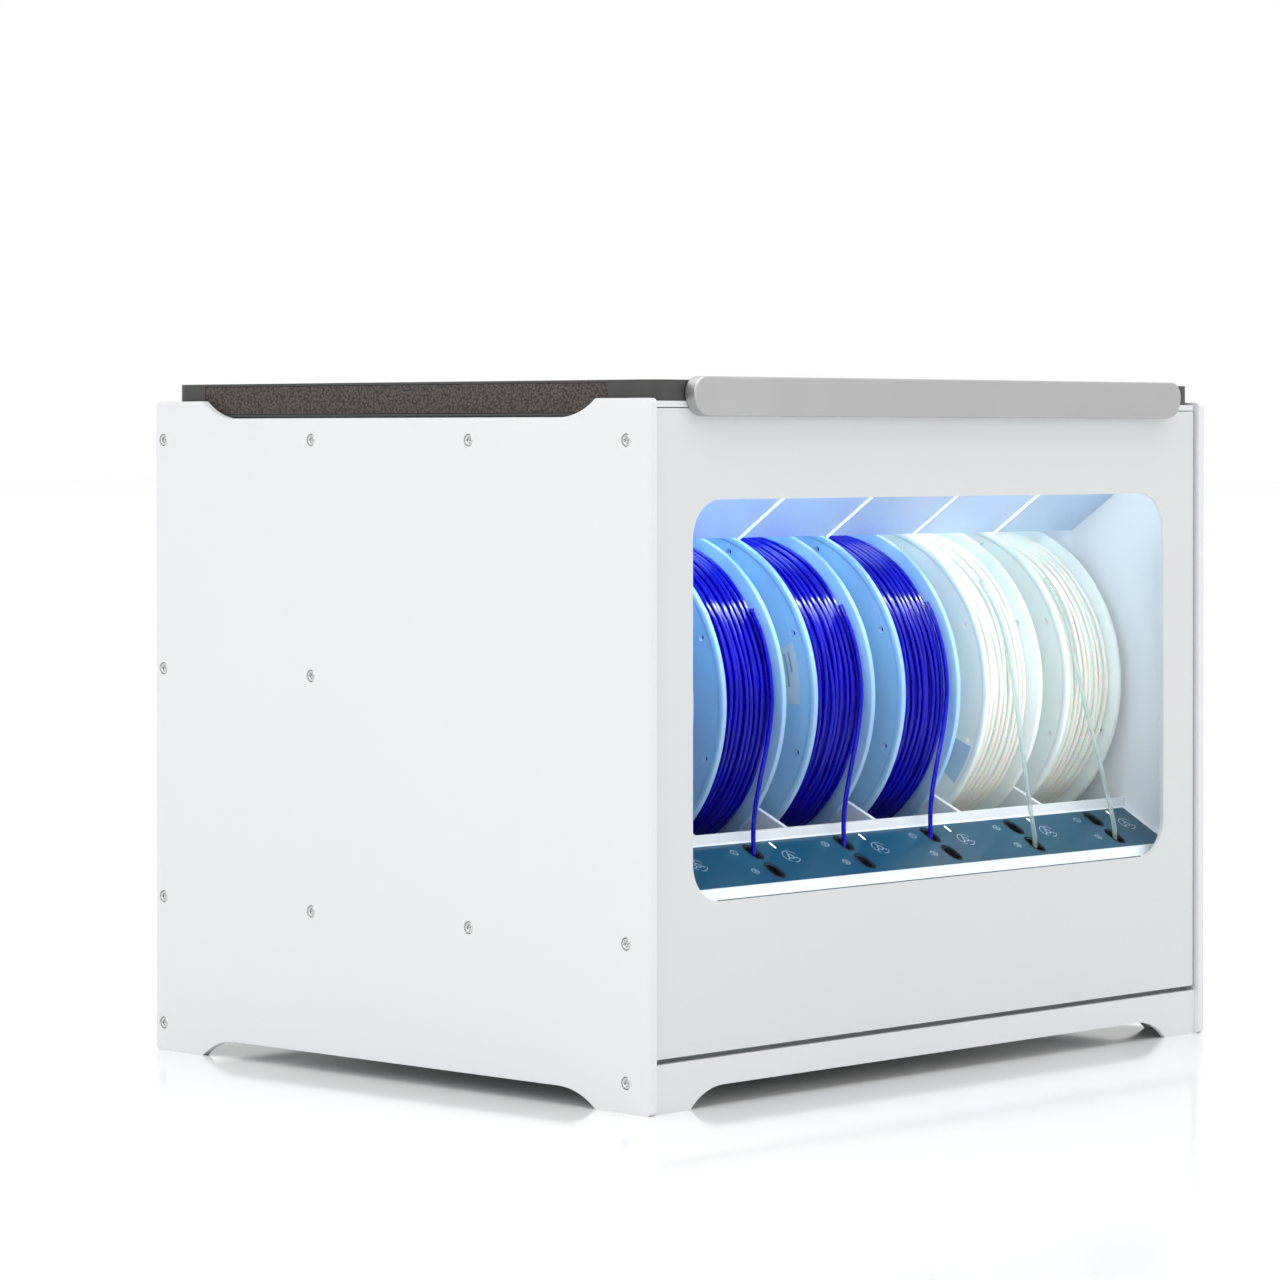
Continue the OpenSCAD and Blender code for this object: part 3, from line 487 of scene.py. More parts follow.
class GeometryTree:
    """A Geometry Nodes tree with named inputs, built step by step."""

    def __init__(self, name: str) -> None:
        """Starts a tree with one geometry input and one geometry output."""
        self.group = bpy.data.node_groups.new(name, "GeometryNodeTree")
        self.group.interface.new_socket("Geometry", in_out="INPUT", socket_type="NodeSocketGeometry")
        self.group.interface.new_socket("Geometry", in_out="OUTPUT", socket_type="NodeSocketGeometry")
        self.given = self.group.nodes.new("NodeGroupInput")
        self.result = self.group.nodes.new("NodeGroupOutput")

    def value(self, name: str, kind: str = "NodeSocketFloat") -> bpy.types.NodeSocket:
        """Adds a named input.

        Args:
            name: The input's name.
            kind: Its socket type.

        Returns:
            The socket to link from.
        """
        self.group.interface.new_socket(name, in_out="INPUT", socket_type=kind)
        return self.given.outputs[name]

    def node(self, kind: str, inputs: dict[str | int, object], **options: object) -> bpy.types.Node:
        """Adds a node and fills its inputs.

        Args:
            kind: The node's type.
            inputs: Sockets to link or values to set, by the input's name or index.
            options: The node's own properties.

        Returns:
            The new node.
        """
        made = self.group.nodes.new(kind)
        for option, value in options.items():
            setattr(made, option, value)
        for key, value in inputs.items():
            if isinstance(value, bpy.types.NodeSocket):
                self.group.links.new(value, made.inputs[key])
            else:
                made.inputs[key].default_value = value
        return made

    def math(self, kind: str, first: object, second: object) -> bpy.types.NodeSocket:
        """Adds a Math node and returns its result."""
        return self.node("ShaderNodeMath", {0: first, 1: second}, operation=kind).outputs[0]

    def vector(self, kind: str, inputs: dict[str | int, object]) -> bpy.types.NodeSocket:
        """Adds a Vector Math node and returns its result."""
        return self.node("ShaderNodeVectorMath", inputs, operation=kind).outputs[0]

    def close(self, geometry: bpy.types.NodeSocket, finish: bpy.types.NodeSocket) -> None:
        """Ends the tree in Realize Instances and Set Material.

        Args:
            geometry: What the tree has made.
            finish: The material for it.
        """
        real = self.node("GeometryNodeRealizeInstances", {"Geometry": geometry})
        dressed = self.node("GeometryNodeSetMaterial", {"Geometry": real.outputs[0], "Material": finish})
        self.group.links.new(dressed.outputs[0], self.result.inputs[0])

    def run_on(self, piece: bpy.types.Object, values: dict[str, object]) -> None:
        """Puts the tree on a piece as a modifier and sets its inputs.

        Args:
            piece: The piece.
            values: The inputs by name.
        """
        modifier = piece.modifiers.new(self.group.name, "NODES")
        modifier.node_group = self.group
        for item in self.group.interface.items_tree:
            if item.item_type == "SOCKET" and item.in_out == "INPUT" and item.name in values:
                modifier[item.identifier] = values[item.name]


def winding_tree() -> GeometryTree:
    """A tree that winds one layer of filament round the X axis and adds it to what it is given.

    Returns:
        The tree, with inputs for the layer's sizes, its looseness and its seed.
    """
    tree = GeometryTree("filament_layer")
    turns, radius, width = (tree.value(n) for n in ("Turns", "Radius", "Width"))
    strand, loose, sway, seed = (tree.value(n) for n in ("Strand Radius", "Looseness", "Sway", "Seed"))
    centre = tree.value("Centre", "NodeSocketVector")
    finish = tree.value("Finish", "NodeSocketMaterial")
    spiral = tree.node(
        "GeometryNodeCurveSpiral",
        {
            "Resolution": 72, "Rotations": turns, "Height": width,
            "Start Radius": radius, "End Radius": radius,
        },
    )
    half = tree.math("MULTIPLY", width, -0.5)
    start = tree.node("ShaderNodeCombineXYZ", {"X": half}).outputs[0]
    lying = tree.node(
        "GeometryNodeTransform",
        {"Geometry": spiral.outputs[0], "Translation": start, "Rotation": Euler((0.0, math.pi / 2, 0.0))},
    )
    place = tree.node("GeometryNodeInputPosition", {}).outputs[0]
    outward = tree.vector("MULTIPLY", {0: place, 1: (0.0, 1.0, 1.0)})
    outward = tree.vector("NORMALIZE", {0: outward})
    along = tree.node("GeometryNodeSplineParameter", {}).outputs["Factor"]
    phase = tree.math("ADD", tree.math("MULTIPLY", tree.math("MULTIPLY", along, turns), 0.9), seed)
    near = tree.vector("MULTIPLY", {0: outward, 1: (1.1, 1.1, 1.1)})
    noise = tree.node(
        "ShaderNodeTexNoise", {"Vector": near, "W": phase, "Scale": 1.0}, noise_dimensions="4D"
    )
    parts = tree.node("ShaderNodeSeparateXYZ", {0: noise.outputs["Color"]})
    span = {"From Min": 0.22, "From Max": 0.78, "To Min": -0.5, "To Max": 0.5}
    wander = [
        tree.node("ShaderNodeMapRange", {"Value": parts.outputs[k], **span}).outputs["Result"]
        for k in (0, 1)
    ]
    rise = tree.math("MULTIPLY", wander[0], loose)
    lift = tree.vector("SCALE", {0: outward, "Scale": rise})
    drift = tree.node("ShaderNodeCombineXYZ", {"X": tree.math("MULTIPLY", wander[1], sway)}).outputs[0]
    offset = tree.vector("ADD", {0: tree.vector("ADD", {0: lift, 1: drift}), 1: centre})
    moved = tree.node("GeometryNodeSetPosition", {"Geometry": lying.outputs[0], "Offset": offset})
    ring = tree.node("GeometryNodeCurvePrimitiveCircle", {"Resolution": 8, "Radius": strand})
    tube = tree.node(
        "GeometryNodeCurveToMesh",
        {"Curve": moved.outputs[0], "Profile Curve": ring.outputs[0], "Fill Caps": True},
    )
    both = tree.node("GeometryNodeJoinGeometry", {})
    tree.group.links.new(tree.given.outputs["Geometry"], both.inputs[0])
    tree.group.links.new(tube.outputs[0], both.inputs[0])
    tree.close(both.outputs[0], finish)
    return tree


def instance_tree() -> GeometryTree:
    """A tree that puts one shape at every point of the mesh it is given.

    Returns:
        The tree, with inputs for the shape and its finish.
    """
    tree = GeometryTree("shape_at_points")
    shape = tree.value("Shape", "NodeSocketObject")
    turn = tree.value("Turn", "NodeSocketVector")
    finish = tree.value("Finish", "NodeSocketMaterial")
    source = tree.node("GeometryNodeObjectInfo", {"Object": shape})
    placed = tree.node(
        "GeometryNodeInstanceOnPoints",
        {
            "Points": tree.given.outputs["Geometry"], "Instance": source.outputs["Geometry"],
            "Rotation": turn,
        },
    )
    tree.close(placed.outputs[0], finish)
    return tree


# ---------------------------------------------------------------- sizes


@dataclass(frozen=True)
class BoxSizes:
    """Sizes that the sub-assemblies share, as the model's source has them."""

    bays: int = 6
    bay_pitch: float = 78.5 * MM
    middle_y: float = 203.85 * MM
    bay_y: float = 14.0 * MM
    tray_z: float = 118.6 * MM
    tray_angle: float = math.radians(29.44)
    lane_y: tuple[float, float] = (41.3 * MM, 24.8 * MM)
    loaded_lane: tuple[int, ...] = (0, 0, 0, 0, 1, 1)
    leave_dx: tuple[float, ...] = (18 * MM, 18 * MM, 18 * MM, 18 * MM, 1 * MM, -14 * MM)
    slot_w: float = 7.5 * MM
    slot_l: float = 11.8 * MM
    slot_dx: float = -4.0 * MM
    blue_bays: int = 4
    filament_d: float = 2.85 * MM
    free_gap: float = 0.3 * MM

    def bay_x(self, bay: int) -> float:
        """The X of a bay's middle, counting bays from 1."""
        return (bay - (self.bays + 1) / 2) * self.bay_pitch

    def slope_z(self, y: float) -> float:
        """Height of the tray's slope at a depth behind the panels' front edges."""
        return self.tray_z + (y - self.bay_y) * math.tan(self.tray_angle)

    def on_slope(self, x: float, y: float, lift: float = 0.0) -> Matrix:
        """The placing of something that lies on the tray's slope.

        Args:
            x: Its X in the shared frame.
            y: Its depth behind the panels' front edges.
            lift: How far it stands off the surface.

        Returns:
            A matrix from flat, on the XY plane, to the slope.
        """
        place = Vector((x, y - self.middle_y, self.slope_z(y)))
        turn = Matrix.Rotation(self.tray_angle, 4, "X")
        return Matrix.Translation(place + turn @ Vector((0.0, 0.0, lift))) @ turn


SIZES = BoxSizes()


# ---------------------------------------------------------------- sub-assemblies


@dataclass
class SubAssembly:
    """Pieces that belong together, on one body of the model."""

    body: str
    made: list[str] = field(default_factory=list)

    def dress(self, finish: Finish, *nodes: str) -> None:
        """Gives CAD nodes a finish in place of their plain one.

        Args:
            finish: The finish.
            nodes: The nodes' names.
        """
        for node in nodes:
            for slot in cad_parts[node].material_slots:
                slot.material = finish.material()
            self.made.append(node)
            log.info("%s: %s in %s", self.body, node, finish.name)

    def add(self, piece: bpy.types.Object, finish: Finish) -> bpy.types.Object:
        """Gives a new piece its finish and lets it ride on its body.

        Args:
            piece: The piece.
            finish: Its finish, where it has no material yet.

        Returns:
            The piece.
        """
        if not any(m is not None for m in piece.data.materials):
            piece.data.materials.clear()
            piece.data.materials.append(finish.material())
        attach(piece, self.body)
        self.made.append(piece.name)
        count = len(piece.data.polygons)
        log.info("%s: %s in %s, %d faces", self.body, piece.name, finish.name, count)
        return piece

    def ease(self, finish: Finish, width: float, *nodes: str) -> None:
        """Replaces CAD nodes by copies with rounded edges.

        Args:
            finish: Their finish.
            width: How far the rounding reaches.
            nodes: The nodes' names.
        """
        for node in nodes:
            self.add(eased_copy(node, width), finish)


@dataclass
class Cabinet(SubAssembly):
    """Side panels, sheets, inner walls and the screws that hold them."""

    panel_ease: float = 1.2 * MM
    sheet_ease: float = 0.5 * MM
    screw_head_r: float = 3.5 * MM
    screw_head_t: float = 2.0 * MM
    screw_socket_r: float = 1.7 * MM
    rib_h: float = 1.5 * MM
    apron_rise: float = 2.7 * MM
    apron_run: float = 78.0 * MM

    def build(self) -> None:
        """Dresses the case and turns its screws."""
        self.ease(SIDE_PAINT, self.panel_ease, "left_side_panel", "right_side_panel")
        self.ease(SHEET_PAINT, self.sheet_ease, "base_pan", "top_frame")
        self.ease(INNER_MOULDING, self.sheet_ease, "front_bezel")
        self.dress(SHEET_PAINT, "back_panel")
        self.dress(INNER_MOULDING, "inner_side_walls", "bay_shell")
        self.dress(OPAL_DIFFUSER, "light_bar")
        self._apron()
        self._screws()

    def _apron(self) -> None:
        """Rounds the sloping apron, whose colour is painted shade, and gives the ribs under it a painted
        glow.
        """
        apron = eased_copy("ceiling_apron", 0.3 * MM)
        apron.data.materials.append(APRON_PAINTED_SHADE.material())
        apron.data.materials.append(RIB_PAINTED_GLOW.material())
        low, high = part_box("ceiling_apron")
        front = Vector((low.y, high.z - self.apron_rise))
        foot = Vector((low.y + self.apron_run, low.z + self.rib_h))
        slope = (foot.y - front.y) / (foot.x - front.x)
        # Faces below the apron's sloping surface are the ribs, which take the painted glow.
        for face in apron.data.polygons:
            surface = front.y + slope * (face.center.y - front.x)
            face.material_index = 1 if face.center.z < surface - 0.25 * self.rib_h else 0
        self.add(apron, APRON_PAINTED_SHADE)

    def _screws(self) -> None:
        """Puts a socket-head screw in every place that the model has one."""
        head_r, head_t, socket = self.screw_head_r, self.screw_head_t, self.screw_socket_r
        rim = 0.7 * MM
        outline = [
            (-head_t - 9 * MM, 1.0 * MM), (-head_t - 10 * MM, 1.9 * MM), (-head_t, 2.0 * MM),
            (-head_t, head_r - 0.2 * MM), (-head_t + 0.2 * MM, head_r), (-rim, head_r),
            (-0.25 * MM, head_r - 0.25 * MM), (0.0, head_r - rim), (0.0, socket + 0.35 * MM),
            (-0.3 * MM, socket), (-1.4 * MM, socket * 0.98), (-1.6 * MM, 0.3 * MM),
        ]
        shape = new_piece("screw_shape", lathe_x("screw_shape", outline, Vector((0, 0, 0)), 18))
        shape.data.materials.append(SCREW_ZINC.material())
        boxes = islands("side_panel_screws")
        tree = instance_tree()
        sides = []
        for side, turn, name in ((1, 0.0, "screws_right"), (-1, math.pi, "screws_left")):
            spots = [
                (high.x if side > 0 else low.x, (low.y + high.y) / 2, (low.z + high.z) / 2)
                for low, high in boxes
                if (low.x + high.x) * side > 0
            ]
            rows = new_piece(name, bpy.data.meshes.new("screw_spots"))
            rows.data.from_pydata(spots, [], [])
            tree.run_on(rows, {"Shape": shape, "Turn": (0.0, 0.0, turn), "Finish": SCREW_ZINC.material()})
            bake_modifiers(rows)
            smooth(rows.data)
            sides.append(rows)
        bpy.data.objects.remove(shape)
        for rows in sides:
            self.add(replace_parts(rows, "side_panel_screws"), SCREW_ZINC)


@dataclass
class Cover(SubAssembly):
    """The dark cover on the top frame and the foam let into its sides."""

    cover_ease: float = 1.0 * MM

    def build(self) -> None:
        """Rounds the cover's edges and dresses the foam."""
        self.ease(COVER_PLASTIC, self.cover_ease, "top_cover")
        self.ease(SIDE_FOAM, 0.15 * MM, "side_foam_strips")


@dataclass
class Door(SubAssembly):
    """The drop-down door with its pane, seal, magnets and grip."""

    frame_ease: float = 0.9 * MM
    grip_ease: float = 1.1 * MM
    pane_lap: float = 6.0 * MM
    corner_r: float = 22.0 * MM
    bead_h: float = 0.5 * MM
    pane_slim: float = 0.84

    def build(self) -> None:
        """Rounds the frame and the grip, and dresses the rest."""
        self.ease(DOOR_MOULDING, self.frame_ease, "door_frame")
        self.ease(GRIP_METAL, self.grip_ease, "door_handle")
        self._pane()
        self.dress(SEAL_RUBBER, "door_gasket")
        self.dress(SCREW_ZINC, "door_magnets")
        self._sill_bead()

    def _pane(self) -> None:
        """Makes the clear pane a hair thinner than its seat, so that the two faces don't meet."""
        low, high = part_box("door_window")
        pane, middle = eased_copy("door_window", 0.2 * MM), (low.y + high.y) / 2
        for vertex in pane.data.vertices:
            vertex.co.y = middle + (vertex.co.y - middle) * self.pane_slim
        self.add(pane, CLEAR_PANE)

    def _sill_bead(self) -> None:
        """Lays a thin dark bead, rounded on top, along the foot of the window opening."""
        low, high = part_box("door_window")
        front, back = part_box("door_frame")[0].y + 0.35 * MM, low.y - 0.05 * MM
        middle, half, foot = (front + back) / 2, (back - front) / 2, low.z + self.pane_lap - 0.05 * MM
        ends = (low.x + self.pane_lap + self.corner_r, high.x - self.pane_lap - self.corner_r)
        steps, points = 8, []
        for x in ends:
            for k in range(steps + 1):
                angle = math.pi * k / steps
                points.append((x, middle - half * math.cos(angle), foot + self.bead_h * math.sin(angle)))
        count = steps + 1
        faces = [(k, (k + 1) % count, count + (k + 1) % count, count + k) for k in range(count)]
        faces += [tuple(range(count)), tuple(range(count, 2 * count))]
        bead = new_piece("window_sill_bead", mesh_of("window_sill_bead", points, faces))
        smooth(bead.data)
        self.add(bead, SILL_DARK_BEAD)


@dataclass
class FeedTray(SubAssembly):
    """The sloping tray with its glossy panel, slots, numbers and symbols."""

    number_size: float = 3.6 * MM
    ring_r: float = 2.5 * MM
    ring_w: float = 0.28 * MM
    number_dx: float = -15.5 * MM
    symbol_dx: float = 21.0 * MM
    symbol_y: float = 34.7 * MM
    symbol_r: float = 5.8 * MM
    print_lift: float = 0.03 * MM
    dark_ring_w: float = 1.1 * MM

    def build(self) -> None:
        """Dresses the tray and prints its marks."""
        self.ease(INNER_MOULDING, 0.5 * MM, "feed_tray", "bay_dividers")
        self.dress(CONTROL_GLOSS, "control_panel")
        self.dress(LIGHT_PIPE, "slot_indicators")
        self.dress(SLOT_BLACK, "feed_funnels")
        self._marks()
        self._dark_rings()

    def _dark_rings(self) -> None:
        """Rings every slot with a thin dark band on the panel."""
        points: list[Vector] = []
        faces: list[tuple[int, ...]] = []
        steps = 32
        straight = (SIZES.slot_l - SIZES.slot_w) / 2
        for bay in range(1, SIZES.bays + 1):
            for y in SIZES.lane_y:
                place = SIZES.on_slope(SIZES.bay_x(bay) + SIZES.slot_dx, y, self.print_lift)
                base = len(points)
                for k in range(steps):
                    angle = math.tau * (k + 0.5) / steps
                    shift = straight if math.sin(angle) > 0 else -straight
                    for radius in (SIZES.slot_w / 2, SIZES.slot_w / 2 + self.dark_ring_w):
                        up_slope = (shift + radius * math.sin(angle)) / math.cos(SIZES.tray_angle)
                        points.append(place @ Vector((radius * math.cos(angle), up_slope, 0.0)))
                for k in range(steps):
                    a, b = base + 2 * k, base + 2 * ((k + 1) % steps)
                    faces.append((a, a + 1, b + 1, b))
        mesh = bpy.data.meshes.new("slot_collars")
        mesh.from_pydata([p[:] for p in points], [], faces)
        self.add(new_piece("slot_collars", mesh), SLOT_BLACK)

    @staticmethod
    def _flat_ring(outer: float, width: float, start: float, sweep: float) -> tuple[list, list]:
        """An arc of a flat ring on the XY plane.

        Args:
            outer: Its outer radius.
            width: Its width.
            start: Where it begins, in degrees.
            sweep: How far it goes round, in degrees.

        Returns:
            Its points and faces.
        """
        steps = max(6, int(sweep / 12))
        angles = [math.radians(start + sweep * k / steps) for k in range(steps + 1)]
        points = [(r * math.cos(a), r * math.sin(a), 0.0) for a in angles for r in (outer - width, outer)]
        faces = [(2 * k, 2 * k + 1, 2 * k + 3, 2 * k + 2) for k in range(steps)]
        return points, faces

    def _number(self, text: str) -> tuple[list, list]:
        """A number drawn flat about the origin.

        Args:
            text: The number.

        Returns:
            Its points and faces.
        """
        curve = bpy.data.curves.new("number", "FONT")
        curve.body, curve.size = text, self.number_size
        curve.align_x, curve.align_y = "CENTER", "CENTER"
        holder = new_piece("number", curve)
        graph = bpy.context.evaluated_depsgraph_get()
        mesh = bpy.data.meshes.new_from_object(holder.evaluated_get(graph))
        points, faces = [v.co[:] for v in mesh.vertices], [p.vertices[:] for p in mesh.polygons]
        bpy.data.objects.remove(holder)
        bpy.data.meshes.remove(mesh)
        return points, faces

    def _marks(self) -> None:
        """Prints a ringed number beside every slot and a spool symbol in every bay."""
        points: list[Vector] = []
        faces: list[list[int]] = []

        def put(shape: tuple[list, list], place: Matrix) -> None:
            """Adds a flat shape at a place."""
            base = len(points)
            points.extend(place @ Vector(p) for p in shape[0])
            faces.extend([base + i for i in face] for face in shape[1])

        numbers = [self._number(text) for text in ("1", "2")]
        for bay in range(1, SIZES.bays + 1):
            for lane, y in enumerate(SIZES.lane_y):
                x = SIZES.bay_x(bay) + SIZES.slot_dx + self.number_dx
                place = SIZES.on_slope(x, y + 0.8 * MM, self.print_lift)
                put(numbers[lane], place)
                put(self._flat_ring(self.ring_r, self.ring_w, 0.0, 360.0), place)
            place = SIZES.on_slope(SIZES.bay_x(bay) + self.symbol_dx, self.symbol_y, self.print_lift)
            put(self._flat_ring(self.symbol_r, self.ring_w, 20.0, 215.0), place)
            put(self._flat_ring(self.symbol_r, self.ring_w, 255.0, 80.0), place)
            put(self._flat_ring(self.symbol_r * 0.36, self.ring_w * 1.4, 0.0, 360.0), place)
            for turn in range(3):
                tip, length = self.symbol_r * 0.78, self.symbol_r * 0.30
                put(self._flat_ring(tip, length, turn * 120.0 + 86.0, 8.0), place)
        mesh = bpy.data.meshes.new("tray_marks")
        mesh.from_pydata([p[:] for p in points], [], faces)
        self.add(new_piece("tray_marks", mesh), MARK_PRINT)


@dataclass
class LoadedSpool(SubAssembly):
    """One spool with its wound filament, turning in its bay."""

    bay: int = 1
    flange_t: float = 4.0 * MM
    recess: float = 0.9 * MM
    rim: float = 3.2 * MM
    holes: int = 8
    hole_r: float = 2.0 * MM
    looseness: float = 0.8 * MM
    layer_seed: float = 0.0

    def build(self, tree: GeometryTree) -> None:
        """Turns the spool and winds its filament.

        Args:
            tree: The tree that winds a layer.
        """
        self._spool()
        self._winding(tree)

    @property
    def is_blue(self) -> bool:
        """Whether this bay holds the blue filament."""
        return self.bay <= SIZES.blue_bays

    def _spool(self) -> None:
        """Turns both flanges and the drum as one piece, with thread holes near the rims."""
        low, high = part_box(f"spool_{self.bay}")
        centre, half, outer = (low + high) / 2, (high.x - low.x) / 2, (high.z - low.z) / 2
        bore, drum, flange = 25.0 * MM, 40.0 * MM, self.flange_t
        face, seat = half - self.recess, outer - self.rim
        side = [
            (half - 1.0 * MM, bore), (half, bore + 1.0 * MM), (half, bore + 8 * MM), (face, bore + 9 * MM),
            (face, seat - 1.0 * MM), (half - 0.1 * MM, seat), (half, seat + 0.6 * MM),
            (half, outer - 1.2 * MM), (half - 0.4 * MM, outer - 0.35 * MM), (half - 1.2 * MM, outer),
            (half - flange + 1.2 * MM, outer), (half - flange + 0.35 * MM, outer - 0.35 * MM),
            (half - flange, outer - 1.2 * MM), (half - flange, drum + 1.0 * MM),
            (half - flange - 1.0 * MM, drum),
        ]
        outline = side + [(-x, r) for x, r in reversed(side)]
        name = f"spool_{self.bay}_moulding"
        piece = new_piece(name, lathe_x(name, outline, centre))
        self._drill(piece, centre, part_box(f"filament_{self.bay}"), half)
        # Spools in the blue bays take the painted blue bounce light, the others a faint painted glow.
        finish = FROSTED_BLUE_BOUNCE if self.is_blue else FROSTED_CLEAR_GLOW
        self.add(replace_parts(piece, f"spool_{self.bay}"), finish)

    def _drill(
        self, piece: bpy.types.Object, centre: Vector, pack: tuple[Vector, Vector], half: float
    ) -> None:
        """Drills the thread holes through both flanges.

        Args:
            piece: The spool.
            centre: Its middle.
            pack: The wound filament's box.
            half: Half the spool's width.
        """
        orbit = (pack[1].z - pack[0].z) / 2 - 2 * self.hole_r
        work = bmesh.new()
        for k in range(self.holes):
            angle = math.tau * k / self.holes + math.radians(20.0)
            spot = centre + Vector((0.0, -orbit * math.sin(angle), orbit * math.cos(angle)))
            bmesh.ops.create_cone(
                work, cap_ends=True, segments=16, radius1=self.hole_r, radius2=self.hole_r,
                depth=half * 2.2,
                matrix=Matrix.Translation(spot) @ Matrix.Rotation(math.pi / 2, 4, "Y"),
            )
        drill = new_piece("drill", bpy.data.meshes.new("drill"))
        work.to_mesh(drill.data)
        work.free()
        cut = piece.modifiers.new("holes", "BOOLEAN")
        cut.operation, cut.object, cut.solver = "DIFFERENCE", drill, "EXACT"
        bake_modifiers(piece)
        bpy.data.objects.remove(drill)
        smooth(piece.data)

    def _winding(self, tree: GeometryTree) -> None:
        """Winds a tight layer and a loose one over a plain core.

        Args:
            tree: The tree that winds a layer.
        """
        low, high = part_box(f"filament_{self.bay}")
        centre, half, outer = (low + high) / 2, (high.x - low.x) / 2, (high.z - low.z) / 2
        strand = SIZES.filament_d / 2
        core = outer - 3.1 * strand
        drum = 40.3 * MM
        edge = 1 * MM
        outline = [
            (-half, drum), (-half, core - edge), (-half + edge, core), (half - edge, core),
            (half, core - edge), (half, drum),
        ]
        name = f"filament_{self.bay}_winding"
        piece = new_piece(name, lathe_x(name, outline, centre, 64))
        # The natural windings carry a faint painted glow.
        finish = BLUE_STRAND if self.is_blue else NATURAL_STRAND_GLOW
        piece.data.materials.append(finish.material())
        layers = (
            (15.5, outer - 2.9 * strand, 2.6 * MM, 0.0),
            (8.5, outer - 1.3 * strand, 5.0 * MM, 40.0),
            (-5.5, outer - 1.3 * strand, 8.0 * MM, 80.0),
        )
        for turns, radius, sway, shift in layers:
            tree.run_on(piece, {
                "Turns": turns, "Radius": radius, "Width": 2 * (half - strand) - sway,
                "Strand Radius": strand, "Looseness": self.looseness, "Sway": sway,
                "Seed": self.layer_seed + shift, "Centre": tuple(centre), "Finish": finish.material(),
            })
        bake_modifiers(piece)
        smooth(piece.data, 50.0)
        self.add(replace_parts(piece, f"filament_{self.bay}"), finish)


@dataclass
class FeedStrands(SubAssembly):
    """The free stretch of filament from each spool down to its slot."""

    wrap: float = math.radians(30.0)
    over: float = 4.0 * MM
    end_z: float = 47.4 * MM
    sides: int = 12

    def build(self) -> None:
        """Draws the blue strands and the natural ones."""
        groups = (
            ("blue_strands", range(1, SIZES.blue_bays + 1), BLUE_STRAND),
            ("natural_strands", range(SIZES.blue_bays + 1, SIZES.bays + 1), NATURAL_CLEAR),
        )
        for name, bays, finish in groups:
            self.add(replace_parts(self._tubes(name, bays), "loaded_filament"), finish)

    def _route(self, bay: int) -> list[Vector]:
        """The line that a bay's strand follows, as the model has it.

        Args:
            bay: The bay's number.

        Returns:
            Points from the winding to the feeder.
        """
        low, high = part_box(f"spool_{bay}")
        spool = (low + high) / 2
        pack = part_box(f"filament_{bay}")
        orbit = (pack[1].z - pack[0].z) / 2 + SIZES.free_gap + SIZES.filament_d / 2
        lane_y = SIZES.lane_y[SIZES.loaded_lane[bay - 1]]
        slot_y, slot_z = lane_y - SIZES.middle_y, SIZES.slope_z(lane_y)
        dy, dz = spool.y - slot_y, slot_z - spool.z
        leave = math.atan2(dz, dy) + math.acos(orbit / math.hypot(dy, dz))
        x0, x1 = SIZES.bay_x(bay) + SIZES.leave_dx[bay - 1], SIZES.bay_x(bay) + SIZES.slot_dx

        def on_winding(angle: float) -> Vector:
            """A point beside the winding, as (0, y, z)."""
            return Vector((0.0, spool.y - orbit * math.cos(angle), spool.z + orbit * math.sin(angle)))

        route = [Vector((x0, 0.0, 0.0)) + on_winding(leave + self.wrap * (1 - k / 12)) for k in range(13)]
        start, entry = on_winding(leave), Vector((0.0, slot_y, slot_z + self.over))
        for k in range(1, 17):
            t = k / 16
            ease = t * t * (3 - 2 * t)
            route.append(Vector((x0 + (x1 - x0) * ease, 0.0, 0.0)) + start.lerp(entry, t))
        route += [Vector((x1, slot_y, z)) for z in (entry.z - 1.5 * self.over, 94.6 * MM, self.end_z)]
        return route

    def _tubes(self, name: str, bays: Iterable[int]) -> bpy.types.Object:
        """Sweeps a round strand along the route of each bay.

        Args:
            name: The piece's name.
            bays: The bays' numbers.

        Returns:
            The new piece.
        """
        verts: list[Vector] = []
        faces: list[tuple[int, ...]] = []
        radius = SIZES.filament_d / 2
        for bay in bays:
            route, base = self._route(bay), len(verts)
            for k, point in enumerate(route):
                ahead = (route[min(k + 1, len(route) - 1)] - route[max(k - 1, 0)]).normalized()
                across = Vector((1.0, 0.0, 0.0)).cross(ahead).normalized()
                other = ahead.cross(across)
                for s in range(self.sides):
                    a = math.tau * s / self.sides
                    verts.append(point + radius * (math.cos(a) * across + math.sin(a) * other))
            for k in range(len(route) - 1):
                for s in range(self.sides):
                    near, step = base + k * self.sides, (s + 1) % self.sides
                    far = near + self.sides
                    faces.append((near + s, near + step, far + step, far + s))
            faces.append(tuple(base + s for s in range(self.sides)))
            faces.append(tuple(base + (len(route) - 1) * self.sides + s for s in range(self.sides)))
        mesh = mesh_of(name, verts, faces)
        smooth(mesh, 60.0)
        return new_piece(name, mesh)


